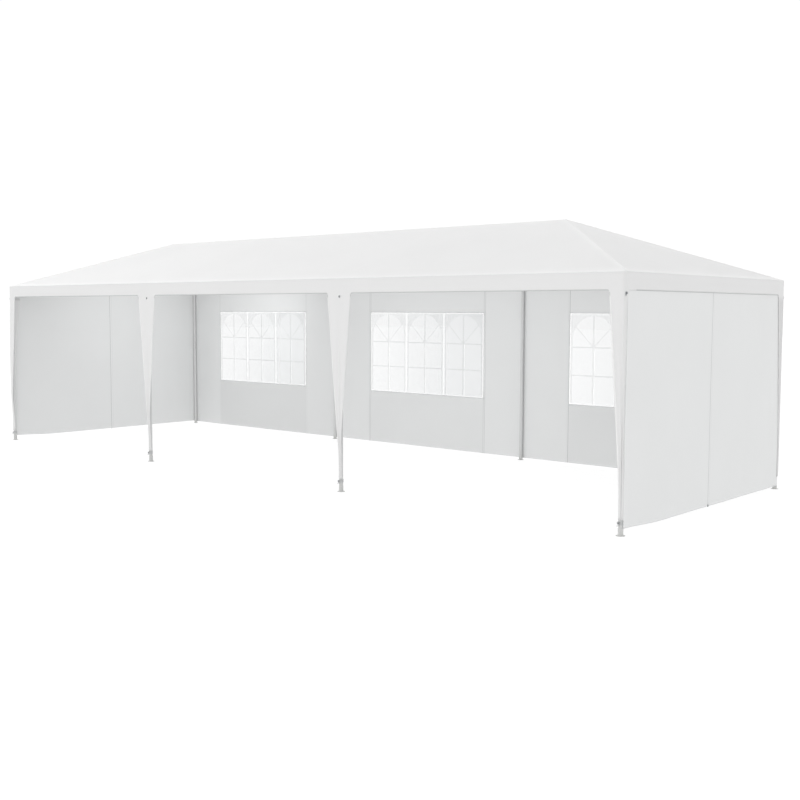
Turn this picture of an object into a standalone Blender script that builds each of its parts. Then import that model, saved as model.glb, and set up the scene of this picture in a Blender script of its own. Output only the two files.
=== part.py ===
"""Party tent, 3 m by 9 m: hipped cover, open front, three back walls with windows, two end walls.

X runs along the length, to the right seen from the open front. The front faces -Y and Z is up.
The origin is on the ground at the centre of the tent's outline. All sizes are in metres.
"""
import math

import bmesh
import bpy
from mathutils import Matrix, Vector

# Outline of the cover
LENGTH = 9.0
DEPTH = 3.0
BAY = 3.0
EAVE_Z = 2.0
RIDGE_Z = 2.56
RIDGE_INSET = DEPTH / 2
VALANCE_DROP = 0.14

# Fabric, modelled thicker than the real sheet, and the clearance between neighbours
FABRIC = 0.002
GAP = 0.0003

# Steel tubes
TUBE_WALL = 0.0012
LEG_R = 0.019
UPPER_LEG_R = 0.0184
LEG_JOINT_Z = 1.15
RAIL_R = 0.016
TUBE_SIDES = 16

# Connectors: sleeves for the roof tubes, a spigot for the leg
SLEEVE_R = 0.0185
SLEEVE_REACH = 0.125
SOCKET_START = 0.055
THROUGH_SLEEVE_REACH = 0.09
HUB_UP = 0.012
HUB_DOWN = 0.03
SPIGOT_DOWN = 0.10

# Foot: a round plate with a short socket round the leg
FOOT_PLATE_R = 0.037
FOOT_PLATE_THICK = 0.003
FOOT_FLARE_Z = 0.014
FOOT_SOCKET_R = 0.0212
FOOT_SOCKET_Z = 0.058
LEG_FLOOR_Z = 0.004

# Leg drapes: wide behind the valance, narrowing to the leg, tied above the foot
DRAPE_TOP_HALF = 0.15
DRAPE_WAIST_HALF = 0.024
DRAPE_TOP_Z = EAVE_Z - VALANCE_DROP + 0.04
DRAPE_WAIST_Z = 0.50
DRAPE_END_Z = 0.14
DRAPE_BEND = 1.12
DRAPE_STEPS = 5
TIE_DROP = 0.035
TIE_BRIDGE_WIDTH = 0.012

# Walls and windows
WALL_TOP_Z = 1.97
BACK_WALL_BOTTOM_Z = 0.025
END_WALL_BOTTOM_Z = 0.035
END_WALL_FRONT_SETBACK = 0.024
WINDOW_WIDTH = 1.80
WINDOW_HEIGHT = 1.00
WINDOW_SILL_Z = 0.68
FILM_LAP = 0.02

# Fabric layers counted from the outside: valance, back drapes, walls, front corner leaves and windows
VALANCE_LAYER = 0
DRAPE_LAYER = 1
WALL_LAYER = 2
INNER_LAYER = 3
LAYERS = 4

MERGE_DISTANCE = 0.00001
SHARP_ANGLE = math.radians(40)
CUT_EXTRA = 0.01

# Worked out from the dimensions above
LAYER_PITCH = FABRIC + GAP
FRAME_INSET = LAYERS * LAYER_PITCH + LEG_R
SLOPE = (RIDGE_Z - EAVE_Z) / RIDGE_INSET
SLOPE_COS = 1 / math.hypot(1, SLOPE)
AXIS_DROP = (FABRIC + GAP + SLEEVE_R) / SLOPE_COS
HALF_LENGTH = LENGTH / 2
HALF_DEPTH = DEPTH / 2
POST_X = [-HALF_LENGTH + FRAME_INSET, -BAY / 2, BAY / 2, HALF_LENGTH - FRAME_INSET]
POST_Y = HALF_DEPTH - FRAME_INSET
RIDGE_X = HALF_LENGTH - RIDGE_INSET
RAIL_Z = EAVE_Z + SLOPE * FRAME_INSET - AXIS_DROP
RIDGE_AXIS_Z = RIDGE_Z - AXIS_DROP
VALANCE_BOTTOM_Z = EAVE_Z - VALANCE_DROP
UP = Vector((0, 0, 1))


def clear_scene():
    """Removes every object, so that only the tent is built."""
    for item in list(bpy.data.objects):
        bpy.data.objects.remove(item, do_unlink=True)


def make_material(name, colour, roughness, metallic=0.0, alpha=1.0):
    """Makes a Principled material from a linear colour."""
    material = bpy.data.materials.new(name)
    material.use_nodes = True
    shader = material.node_tree.nodes["Principled BSDF"]
    shader.inputs["Base Color"].default_value = (*colour, 1.0)
    shader.inputs["Roughness"].default_value = roughness
    shader.inputs["Metallic"].default_value = metallic
    shader.inputs["Alpha"].default_value = alpha
    return material


def finish_mesh(bm, name):
    """Turns a bmesh into a mesh with outward faces and smooth round sides."""
    bmesh.ops.remove_doubles(bm, verts=bm.verts, dist=MERGE_DISTANCE)
    bmesh.ops.recalc_face_normals(bm, faces=bm.faces)
    mesh = bpy.data.meshes.new(name)
    bm.to_mesh(mesh)
    bm.free()
    mesh.shade_smooth()
    mesh.set_sharp_from_angle(angle=SHARP_ANGLE)
    return mesh


def place(name, mesh, material):
    """Puts a mesh into the scene as a named sub-part."""
    mesh.name = name
    mesh.materials.clear()
    mesh.materials.append(material)
    item = bpy.data.objects.new(name, mesh)
    bpy.context.scene.collection.objects.link(item)
    return item


def prism(outline, sweep):
    """A flat outline swept along a straight line."""
    bm = bmesh.new()
    face = bm.faces.new([bm.verts.new(point) for point in outline])
    swept = bmesh.ops.extrude_face_region(bm, geom=[face], use_keep_orig=True)
    moved = [item for item in swept["geom"] if isinstance(item, bmesh.types.BMVert)]
    bmesh.ops.translate(bm, verts=moved, vec=sweep)
    return finish_mesh(bm, "prism")


def add_rod(bm, start, end, radius):
    """Adds a capped round bar between two points."""
    along = end - start
    turn = along.to_track_quat("Z", "Y").to_matrix().to_4x4()
    matrix = Matrix.Translation((start + end) / 2) @ turn
    bmesh.ops.create_cone(
        bm,
        cap_ends=True,
        segments=TUBE_SIDES,
        radius1=radius,
        radius2=radius,
        depth=along.length,
        matrix=matrix,
    )


def rod(start, end, radius):
    """A capped round bar between two points."""
    bm = bmesh.new()
    add_rod(bm, start, end, radius)
    return finish_mesh(bm, "rod")


def tube(start, end, radius):
    """A round tube, open at both ends."""
    overshoot = (end - start).normalized() * CUT_EXTRA
    bore = rod(start - overshoot, end + overshoot, radius - TUBE_WALL)
    return combine(rod(start, end, radius), cut=[bore])


def turned(profile, centre):
    """A closed profile of radius and height points, turned about the vertical axis."""
    bm = bmesh.new()
    points = [bm.verts.new((radius, 0, height)) for radius, height in profile]
    edges = [bm.edges.new(pair) for pair in zip(points, points[1:])]
    bmesh.ops.spin(
        bm,
        geom=points + edges,
        cent=(0, 0, 0),
        axis=UP,
        angle=2 * math.pi,
        steps=TUBE_SIDES,
        use_merge=True,
    )
    bmesh.ops.translate(bm, verts=bm.verts, vec=centre)
    return finish_mesh(bm, "turned")


def combine(first, joined=(), cut=()):
    """Joins solids to the first one, then cuts others out of it."""
    base = bpy.data.objects.new("base", first)
    bpy.context.scene.collection.objects.link(base)
    helpers = []
    for operation, meshes in (("UNION", joined), ("DIFFERENCE", cut)):
        for mesh in meshes:
            helper = bpy.data.objects.new("helper", mesh)
            bpy.context.scene.collection.objects.link(helper)
            helpers.append(helper)
            modifier = base.modifiers.new("step", "BOOLEAN")
            modifier.operation = operation
            modifier.solver = "EXACT"
            modifier.object = helper
    bpy.context.view_layer.update()
    evaluated = base.evaluated_get(bpy.context.evaluated_depsgraph_get())
    result = bpy.data.meshes.new_from_object(evaluated)
    for item in helpers + [base]:
        bpy.data.objects.remove(item, do_unlink=True)
    bm = bmesh.new()
    bm.from_mesh(result)
    return finish_mesh(bm, "combined")


def layer_faces(layer):
    """Outer and inner face of a fabric layer, as insets from the cover's outline."""
    outer = layer * LAYER_PITCH
    return outer, outer + FABRIC


def leg_mesh(x, y):
    """Two-part leg tube with its foot: a hollow turned form, closed at the bottom."""
    top = RAIL_Z - HUB_DOWN - GAP
    bore = UPPER_LEG_R - TUBE_WALL
    profile = [
        (0, LEG_FLOOR_Z),
        (bore, LEG_FLOOR_Z),
        (bore, top),
        (UPPER_LEG_R, top),
        (UPPER_LEG_R, LEG_JOINT_Z),
        (LEG_R, LEG_JOINT_Z - TUBE_WALL),
        (LEG_R, FOOT_SOCKET_Z),
        (FOOT_SOCKET_R, FOOT_SOCKET_Z - TUBE_WALL),
        (FOOT_SOCKET_R, FOOT_FLARE_Z),
        (FOOT_PLATE_R - FOOT_PLATE_THICK, FOOT_PLATE_THICK + TUBE_WALL),
        (FOOT_PLATE_R, FOOT_PLATE_THICK),
        (FOOT_PLATE_R, 0),
        (0, 0),
    ]
    return turned(profile, Vector((x, y, 0)))


def leg_head(centre):
    """Hub and spigot that a leg slides onto, for a connector at the eave."""
    hub = rod(centre - UP * HUB_DOWN, centre + UP * HUB_UP, UPPER_LEG_R)
    spigot_radius = UPPER_LEG_R - TUBE_WALL - GAP
    spigot = rod(centre - UP * SPIGOT_DOWN, centre, spigot_radius)
    return [hub, spigot]


def sleeve(centre, towards):
    """Sleeve of a connector that a roof tube is pushed into."""
    return rod(centre, centre + towards.normalized() * SLEEVE_REACH, SLEEVE_R)


def socket(centre, towards):
    """Bore of such a sleeve."""
    direction = towards.normalized()
    start = centre + direction * SOCKET_START
    end = centre + direction * (SLEEVE_REACH + CUT_EXTRA)
    return rod(start, end, RAIL_R + GAP)


def roof_tube(start_centre, end_centre):
    """Tube whose ends sit in the sockets of two connectors."""
    direction = (end_centre - start_centre).normalized()
    inset = direction * (SOCKET_START + GAP)
    return tube(start_centre + inset, end_centre - inset, RAIL_R)


def ridge_centre(side):
    """Centre of the connector at one end of the ridge."""
    return Vector((side * RIDGE_X, 0, RIDGE_AXIS_Z))


def corner_centre(side, row):
    """Centre of the connector at a corner of the frame."""
    return Vector((side * POST_X[3], row * POST_Y, RAIL_Z))


def rafter_foot(side, row):
    """Centre of the connector over a middle leg, which the long rail runs through."""
    return Vector((side * BAY / 2, row * POST_Y, RAIL_Z))


def rafter_head(side):
    """Centre of the connector over a pair of rafters, which the ridge pole runs through."""
    return Vector((side * BAY / 2, 0, RIDGE_AXIS_Z))


def connector_mesh(centre, targets, through=False, on_leg=False):
    """Connector with a sleeve towards each target, and a through sleeve or a leg spigot if it has them."""
    directions = [target - centre for target in targets]
    solids = leg_head(centre) if on_leg else []
    solids += [sleeve(centre, direction) for direction in directions]
    bores = [socket(centre, direction) for direction in directions]
    if through:
        reach = Vector((THROUGH_SLEEVE_REACH, 0, 0))
        past = Vector((THROUGH_SLEEVE_REACH + CUT_EXTRA, 0, 0))
        solids.append(rod(centre - reach, centre + reach, SLEEVE_R))
        bores.append(rod(centre - past, centre + past, RAIL_R + GAP))
    return combine(solids[0], joined=solids[1:], cut=bores)


def slope_point(x, y, drop=0.0):
    """Point of the roof's outer face over a place in plan, or a drop below it."""
    inset = min(HALF_LENGTH - abs(x), HALF_DEPTH - abs(y))
    return Vector((x, y, EAVE_Z + SLOPE * inset - drop))


def roof_slope_mesh(plan):
    """One slope of the cover: its plan outline on the roof's outer face, given its thickness."""
    outline = [slope_point(x, y) for x, y in plan]
    return prism(outline, Vector((0, 0, -FABRIC / SLOPE_COS)))


def long_slope_plan(row):
    """Plan of a long slope, clear of its neighbours at the hips and the ridge."""
    half_gap = GAP / 2
    eave = row * HALF_DEPTH
    crest = row * half_gap
    return [
        (-HALF_LENGTH + GAP, eave),
        (HALF_LENGTH - GAP, eave),
        (RIDGE_X - half_gap, crest),
        (-RIDGE_X + half_gap, crest),
    ]


def end_slope_plan(side):
    """Plan of an end slope, clear of the long slopes at the hips."""
    eave = side * HALF_LENGTH
    corner = HALF_DEPTH - GAP
    return [(eave, -corner), (eave, corner), (side * (RIDGE_X + GAP), 0)]


def box(low, high):
    """A plain box between two corners."""
    outline = [
        Vector((low[0], low[1], low[2])),
        Vector((high[0], low[1], low[2])),
        Vector((high[0], high[1], low[2])),
        Vector((low[0], high[1], low[2])),
    ]
    return prism(outline, Vector((0, 0, high[2] - low[2])))


def valance_meshes():
    """Straight valance strips under the four edges of the roof."""
    outer, inner = layer_faces(VALANCE_LAYER)
    top = EAVE_Z - FABRIC / SLOPE_COS - GAP
    strips = {}
    for name, row in (("front", -1), ("back", 1)):
        faces = sorted((row * (HALF_DEPTH - outer), row * (HALF_DEPTH - inner)))
        low = (-HALF_LENGTH, faces[0], VALANCE_BOTTOM_Z)
        strips[name] = box(low, (HALF_LENGTH, faces[1], top))
    end_y = HALF_DEPTH - inner - GAP
    for name, side in (("left", -1), ("right", 1)):
        faces = sorted((side * (HALF_LENGTH - outer), side * (HALF_LENGTH - inner)))
        low = (faces[0], -end_y, VALANCE_BOTTOM_Z)
        strips[name] = box(low, (faces[1], end_y, top))
    return strips


def drape_half_width(height):
    """Half width of a leg drape: it narrows in a slack curve and then hugs the leg."""
    share = max(0.0, (height - DRAPE_WAIST_Z) / (VALANCE_BOTTOM_Z - DRAPE_WAIST_Z))
    bent = min(1.0, share) ** DRAPE_BEND
    return DRAPE_WAIST_HALF + (DRAPE_TOP_HALF - DRAPE_WAIST_HALF) * bent


def drape_edge():
    """Heights and half widths down one edge of a drape, from the top to the tied end."""
    rise = VALANCE_BOTTOM_Z - DRAPE_WAIST_Z
    heights = [DRAPE_WAIST_Z + rise * step / DRAPE_STEPS for step in range(DRAPE_STEPS, -1, -1)]
    return [(height, drape_half_width(height)) for height in [DRAPE_TOP_Z] + heights + [DRAPE_END_Z]]


def tie_meshes(x, y, face_y):
    """Tied end of a front drape: the fabric round the leg and its fold up to the drape's face."""
    bottom = Vector((x, y, DRAPE_END_Z))
    lift = UP * TIE_DROP
    band = rod(bottom, bottom + lift, LEG_R + GAP + FABRIC)
    half = TIE_BRIDGE_WIDTH / 2
    bridge = box((x - half, face_y, DRAPE_END_Z), (x + half, y - LEG_R, DRAPE_END_Z + TIE_DROP))
    bore = rod(bottom - lift, bottom + 2 * lift, LEG_R + GAP)
    return [band, bridge], bore


def middle_drape_mesh(x, row):
    """Drape over a leg in the middle of a long side."""
    outer, inner = layer_faces(DRAPE_LAYER)
    face_y = row * (HALF_DEPTH - outer)
    edge = drape_edge()
    left = [Vector((x - half, face_y, height)) for height, half in edge]
    right = [Vector((x + half, face_y, height)) for height, half in reversed(edge)]
    sheet = prism(left + right, Vector((0, -row * FABRIC, 0)))
    if row > 0:
        return sheet
    joined, bore = tie_meshes(x, row * POST_Y, -(HALF_DEPTH - inner + FABRIC / 2))
    return combine(sheet, joined=joined, cut=[bore])


def corner_drape_mesh(side, row):
    """Drape folded round a corner leg, with one leaf on each face."""
    side_layer = INNER_LAYER if row < 0 else DRAPE_LAYER
    long_outer, long_inner = layer_faces(DRAPE_LAYER)
    end_outer, _ = layer_faces(side_layer)
    face_x = side * (HALF_LENGTH - end_outer)
    face_y = row * (HALF_DEPTH - long_outer)
    edge = drape_edge()
    lean = FRAME_INSET - end_outer
    long_leaf = [Vector((face_x, face_y, height)) for height in (DRAPE_END_Z, DRAPE_TOP_Z)]
    end_leaf = [Vector((face_x, face_y, height)) for height in (DRAPE_END_Z, DRAPE_TOP_Z)]
    for height, half in edge:
        reach = half + lean * (1 - half / DRAPE_TOP_HALF)
        long_leaf.append(Vector((face_x - side * reach, face_y, height)))
        end_leaf.append(Vector((face_x, face_y - row * reach, height)))
    long_mesh = prism(long_leaf, Vector((0, -row * FABRIC, 0)))
    end_mesh = prism(end_leaf, Vector((-side * FABRIC, 0, 0)))
    if row > 0:
        return combine(long_mesh, joined=[end_mesh])
    post_x = side * POST_X[3]
    tie_face = -(HALF_DEPTH - long_inner + FABRIC / 2)
    joined, bore = tie_meshes(post_x, row * POST_Y, tie_face)
    return combine(long_mesh, joined=[end_mesh] + joined, cut=[bore])


def back_wall_mesh(bay):
    """Back wall of one bay, with its window opening."""
    outer, inner = layer_faces(WALL_LAYER)
    left = max(-HALF_LENGTH + outer, (bay - 1.5) * BAY + GAP / 2)
    right = min(HALF_LENGTH - outer, (bay - 0.5) * BAY - GAP / 2)
    low = (left, HALF_DEPTH - inner, BACK_WALL_BOTTOM_Z)
    high = (right, HALF_DEPTH - outer, WALL_TOP_Z)
    middle = (bay - 1) * BAY
    half = WINDOW_WIDTH / 2
    hole_low = (middle - half, HALF_DEPTH - inner - CUT_EXTRA, WINDOW_SILL_Z)
    hole_high = (middle + half, HALF_DEPTH - outer + CUT_EXTRA, WINDOW_SILL_Z + WINDOW_HEIGHT)
    return combine(box(low, high), cut=[box(hole_low, hole_high)])


def window_mesh(bay):
    """Clear film behind a window opening, lapped over the wall all round."""
    outer, inner = layer_faces(INNER_LAYER)
    middle = (bay - 1) * BAY
    half = WINDOW_WIDTH / 2 + FILM_LAP
    low = (middle - half, HALF_DEPTH - inner, WINDOW_SILL_Z - FILM_LAP)
    high = (middle + half, HALF_DEPTH - outer, WINDOW_SILL_Z + WINDOW_HEIGHT + FILM_LAP)
    return box(low, high)


def end_wall_mesh(side):
    """Plain wall across one end, from the front corner to the back wall."""
    outer, inner = layer_faces(WALL_LAYER)
    faces = sorted((side * (HALF_LENGTH - outer), side * (HALF_LENGTH - inner)))
    front = -HALF_DEPTH + END_WALL_FRONT_SETBACK
    back = HALF_DEPTH - inner - GAP
    return box((faces[0], front, END_WALL_BOTTOM_Z), (faces[1], back, WALL_TOP_Z))


def build_frame(steel):
    """Legs, connectors, rails, ridge and rafters."""
    for row, row_name in ((-1, "front"), (1, "back")):
        for column, x in enumerate(POST_X):
            place(f"leg_{row_name}_{column + 1}", leg_mesh(x, row * POST_Y), steel)
        long_rail = roof_tube(corner_centre(-1, row), corner_centre(1, row))
        place(f"eave_rail_{row_name}", long_rail, steel)
        for side, side_name in ((-1, "left"), (1, "right")):
            corner = corner_centre(side, row)
            neighbours = [corner_centre(-side, row), corner_centre(side, -row), ridge_centre(side)]
            connector = connector_mesh(corner, neighbours, on_leg=True)
            place(f"corner_connector_{row_name}_{side_name}", connector, steel)
            hip = roof_tube(corner, ridge_centre(side))
            place(f"hip_rafter_{row_name}_{side_name}", hip, steel)
            foot = rafter_foot(side, row)
            connector = connector_mesh(foot, [rafter_head(side)], through=True, on_leg=True)
            place(f"eave_connector_{row_name}_{side_name}", connector, steel)
            rafter = roof_tube(foot, rafter_head(side))
            place(f"rafter_{row_name}_{side_name}", rafter, steel)
    for side, side_name in ((-1, "left"), (1, "right")):
        rail = roof_tube(corner_centre(side, -1), corner_centre(side, 1))
        place(f"eave_rail_{side_name}", rail, steel)
        corners = [corner_centre(side, row) for row in (-1, 1)]
        connector = connector_mesh(ridge_centre(side), [ridge_centre(-side)] + corners)
        place(f"ridge_end_connector_{side_name}", connector, steel)
        feet = [rafter_foot(side, row) for row in (-1, 1)]
        connector = connector_mesh(rafter_head(side), feet, through=True)
        place(f"ridge_middle_connector_{side_name}", connector, steel)
    place("ridge_pole", roof_tube(ridge_centre(-1), ridge_centre(1)), steel)


def build_cover(fabric):
    """Roof slopes, valance and leg drapes."""
    for row, name in ((-1, "front"), (1, "back")):
        place(f"roof_{name}", roof_slope_mesh(long_slope_plan(row)), fabric)
    for side, name in ((-1, "left"), (1, "right")):
        place(f"roof_{name}", roof_slope_mesh(end_slope_plan(side)), fabric)
    for name, mesh in valance_meshes().items():
        place(f"valance_{name}", mesh, fabric)
    for row, row_name in ((-1, "front"), (1, "back")):
        place(f"leg_drape_{row_name}_1", corner_drape_mesh(-1, row), fabric)
        place(f"leg_drape_{row_name}_2", middle_drape_mesh(POST_X[1], row), fabric)
        place(f"leg_drape_{row_name}_3", middle_drape_mesh(POST_X[2], row), fabric)
        place(f"leg_drape_{row_name}_4", corner_drape_mesh(1, row), fabric)


def build_walls(fabric, film):
    """Back walls with their windows, and the two end walls."""
    for bay in range(3):
        place(f"back_wall_{bay + 1}", back_wall_mesh(bay), fabric)
        place(f"window_{bay + 1}", window_mesh(bay), film)
    place("end_wall_left", end_wall_mesh(-1), fabric)
    place("end_wall_right", end_wall_mesh(1), fabric)


def main():
    clear_scene()
    steel = make_material("powder_coated_steel", (0.80, 0.80, 0.80), 0.35)
    cover = make_material("cover_cloth", (0.84, 0.84, 0.83), 0.55)
    walls = make_material("wall_cloth", (0.80, 0.80, 0.80), 0.55)
    film = make_material("clear_film", (0.90, 0.92, 0.93), 0.12, alpha=0.35)
    build_frame(steel)
    build_cover(cover)
    build_walls(walls, film)


main()
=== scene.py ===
import math

import bmesh
import bpy
from mathutils import Matrix, Vector, noise


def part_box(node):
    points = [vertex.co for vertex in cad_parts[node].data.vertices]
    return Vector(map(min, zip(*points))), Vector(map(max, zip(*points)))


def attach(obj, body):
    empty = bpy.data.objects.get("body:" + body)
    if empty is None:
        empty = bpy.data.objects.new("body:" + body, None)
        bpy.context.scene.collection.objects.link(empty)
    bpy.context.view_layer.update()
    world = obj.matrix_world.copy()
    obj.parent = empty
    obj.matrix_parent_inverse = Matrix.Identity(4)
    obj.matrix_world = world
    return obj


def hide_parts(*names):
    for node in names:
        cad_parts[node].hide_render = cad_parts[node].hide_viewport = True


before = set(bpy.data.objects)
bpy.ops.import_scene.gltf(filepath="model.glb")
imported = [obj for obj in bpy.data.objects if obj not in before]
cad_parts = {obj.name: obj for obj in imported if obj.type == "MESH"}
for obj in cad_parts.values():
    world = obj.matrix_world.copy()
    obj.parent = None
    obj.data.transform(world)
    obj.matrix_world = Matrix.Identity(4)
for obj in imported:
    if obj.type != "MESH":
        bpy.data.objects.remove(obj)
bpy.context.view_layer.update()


# Camera
# It stands off the front right corner of the tent at head height and looks along the open front.
# Its yaw is counted from looking straight at the front, and its pitch from the level.
CAMERA_PLACE = Vector((8.498, -8.600, 1.696))
CAMERA_YAW = math.radians(41.302)
CAMERA_PITCH = math.radians(-4.746)
CAMERA_ROLL = math.radians(0.207)
CAMERA_SENSOR_MM = 36.0
CAMERA_LENS_MM = 48.08


def new_object(name, data):
    """A new object in the scene."""
    made = bpy.data.objects.new(name, data)
    bpy.context.scene.collection.objects.link(made)
    return made


camera_data = bpy.data.cameras.new("camera")
camera_data.sensor_width = CAMERA_SENSOR_MM
camera_data.lens = CAMERA_LENS_MM
camera_data.clip_start = 0.1
camera_data.clip_end = 200
camera = new_object("camera", camera_data)
camera.matrix_world = (
    Matrix.Translation(CAMERA_PLACE)
    @ Matrix.Rotation(CAMERA_YAW, 4, "Z")
    @ Matrix.Rotation(math.pi / 2 + CAMERA_PITCH, 4, "X")
    @ Matrix.Rotation(CAMERA_ROLL, 4, "Z")
)
bpy.context.scene.camera = camera


# Roof tubes
# Thin-walled steel tube for the eaves, the ridge, the hips and the rafters. It is cut to length, powder
# coated white, and pushed into the sleeves of the connectors, which hide its ends.
TUBE_R = 0.016
TUBE_SIDES = 36
TUBE_END_HIDDEN = 0.0553
# Two close shades of the coat, which change over it in patches
COAT = ("#D6D7D7", "#CBCCCC")
COAT_GRIME = "#B3B2AD"
COAT_PEEL_MM = 9.0
COAT_GRIME_TOP = 0.16


def linear(hex_colour):
    """An sRGB hex colour as linear RGBA."""
    shares = [int(hex_colour[at:at + 2], 16) / 255 for at in (1, 3, 5)]
    return [s / 12.92 if s <= 0.04045 else ((s + 0.055) / 1.055) ** 2.4 for s in shares] + [1.0]


def add_node(tree, kind, inputs=None, **settings):
    """Adds a node with its settings. An input is a value, another node's output to link, or a node, which
    is linked by its Fac output where it has one, or by the first of its outputs in use."""
    made = tree.nodes.new(kind)
    for name, value in settings.items():
        setattr(made, name, value)
    for key, value in (inputs or {}).items():
        if isinstance(value, bpy.types.Node):
            value = value.outputs.get("Fac") or next(end for end in value.outputs if end.enabled)
        if isinstance(value, bpy.types.NodeSocket):
            tree.links.new(value, made.inputs[key])
        else:
            made.inputs[key].default_value = value
    return made


def new_material(name):
    """An empty node material: the material, its tree, and the place on the piece that patterns follow."""
    material = bpy.data.materials.new(name)
    material.use_nodes = True
    material.node_tree.nodes.clear()
    place = add_node(material.node_tree, "ShaderNodeTexCoord").outputs["Object"]
    return material, material.node_tree, place


def close_material(material, surface):
    """Ends a material with the shader that makes its surface."""
    add_node(material.node_tree, "ShaderNodeOutputMaterial", {"Surface": surface})
    return material


def coated_steel(name, white, shade):
    """White powder coat baked on steel tube. A low, even gloss over a fine orange peel, a touch greyer in
    patches, and splashed with dull grime just over the ground."""
    material, tree, place = new_material(name)
    patches = add_node(tree, "ShaderNodeTexNoise", {"Vector": place, "Scale": 7.0, "Detail": 3.0})
    coat = add_node(
        tree,
        "ShaderNodeMix",
        {"Factor": patches, "A": linear(white), "B": linear(shade)},
        data_type="RGBA",
    )
    height = add_node(tree, "ShaderNodeSeparateXYZ", {"Vector": place}).outputs["Z"]
    low = add_node(
        tree,
        "ShaderNodeMapRange",
        {"Value": height, "From Min": 0.0, "From Max": COAT_GRIME_TOP, "To Min": 0.75, "To Max": 0.0},
    )
    specks = add_node(tree, "ShaderNodeTexNoise", {"Vector": place, "Scale": 90.0, "Detail": 4.0})
    splash = add_node(tree, "ShaderNodeMath", {0: low, 1: specks}, operation="MULTIPLY")
    dirty = add_node(
        tree, "ShaderNodeMix", {"Factor": splash, "A": coat, "B": linear(COAT_GRIME)}, data_type="RGBA"
    )
    peel = add_node(
        tree, "ShaderNodeTexNoise", {"Vector": place, "Scale": 1000 / COAT_PEEL_MM, "Detail": 1.0}
    )
    bump = add_node(tree, "ShaderNodeBump", {"Height": peel, "Strength": 0.35, "Distance": 0.0004})
    rough = add_node(tree, "ShaderNodeMapRange", {"Value": specks, "To Min": 0.30, "To Max": 0.46})
    shader = add_node(
        tree, "ShaderNodeBsdfPrincipled", {"Base Color": dirty, "Roughness": rough, "Normal": bump}
    )
    return close_material(material, shader)


def put(name, mesh, material, replaced=()):
    """Places a finished piece on the tent, in the stead of the CAD nodes it stands for."""
    mesh.materials.clear()
    mesh.materials.append(material)
    piece = new_object(name, mesh)
    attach(piece, "root")
    if replaced:
        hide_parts(*replaced)
    return piece


def new_tree(name, sockets):
    """An empty Geometry Nodes tree with a named input of its kind for each size, and those inputs."""
    tree = bpy.data.node_groups.new(name, "GeometryNodeTree")
    tree.interface.new_socket("Geometry", in_out="OUTPUT", socket_type="NodeSocketGeometry")
    for label, kind in {"Geometry": "Geometry", **sockets, "Material": "Material"}.items():
        tree.interface.new_socket(label, in_out="INPUT", socket_type="NodeSocket" + kind)
    return tree, add_node(tree, "NodeGroupInput").outputs


def close_tree(tree, given, geometry):
    """Ends a tree by realizing its instances and giving them their material."""
    real = add_node(tree, "GeometryNodeRealizeInstances", {"Geometry": geometry})
    painted = add_node(tree, "GeometryNodeSetMaterial", {"Geometry": real, "Material": given["Material"]})
    add_node(tree, "NodeGroupOutput", {"Geometry": painted})
    return tree


def grow(tree, mesh, values):
    """Runs a tree on a mesh with its inputs set by name, and returns the plain mesh that comes out."""
    seed = new_object("seed", mesh)
    modifier = seed.modifiers.new("grow", "NODES")
    modifier.node_group = tree
    for item in tree.interface.items_tree:
        if item.in_out == "INPUT" and item.name in values:
            modifier[item.identifier] = values[item.name]
    bpy.context.view_layer.update()
    evaluated = seed.evaluated_get(bpy.context.evaluated_depsgraph_get())
    grown = bpy.data.meshes.new_from_object(evaluated)
    seed.modifiers.remove(modifier)
    bpy.data.objects.remove(seed, do_unlink=True)
    return grown


def new_mesh(name, points, edges, faces):
    """A mesh of its points, and of edges or faces between them."""
    mesh = bpy.data.meshes.new(name)
    mesh.from_pydata(points, edges, faces)
    return mesh


def path_mesh(name, paths):
    """Polylines as a mesh of edges, for a tree to follow."""
    points = [point for path in paths for point in path]
    edges = []
    start = 0
    for path in paths:
        edges += [(start + at, start + at + 1) for at in range(len(path) - 1)]
        start += len(path)
    return new_mesh(name, points, edges, [])


def tube_tree():
    """Round bar along every edge of a mesh."""
    tree, given = new_tree("round tube along a line", {"Radius": "Float", "Sides": "Int"})
    line = add_node(tree, "GeometryNodeMeshToCurve", {"Mesh": given["Geometry"]})
    ring = add_node(
        tree,
        "GeometryNodeCurvePrimitiveCircle",
        {"Radius": given["Radius"], "Resolution": given["Sides"]},
    )
    tube = add_node(
        tree, "GeometryNodeCurveToMesh", {"Curve": line, "Profile Curve": ring, "Fill Caps": True}
    )
    return close_tree(tree, given, tube)


def smooth(mesh, angle=35):
    """Smooth shading with sharp edges kept where faces meet at more than an angle."""
    mesh.shade_smooth()
    mesh.set_sharp_from_angle(angle=math.radians(angle))
    return mesh


steel = coated_steel("powder coated steel tube", *COAT)
tubing = tube_tree()
ridge_low, ridge_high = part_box("ridge_pole")
front_rail_low, front_rail_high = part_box("eave_rail_front")
post_y = front_rail_high.y - TUBE_R
rail_z = front_rail_low.z + TUBE_R
ridge_z = ridge_low.z + TUBE_R
post_x = front_rail_high.x + TUBE_END_HIDDEN
ridge_x = ridge_high.x + TUBE_END_HIDDEN
bay_x = sum(corner.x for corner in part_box("rafter_front_right")) / 2
corner_points = {
    (side, row): Vector((side * post_x, -row * post_y, rail_z)) for side in (-1, 1) for row in (-1, 1)
}
ridge_points = {side: Vector((side * ridge_x, 0, ridge_z)) for side in (-1, 1)}

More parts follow.
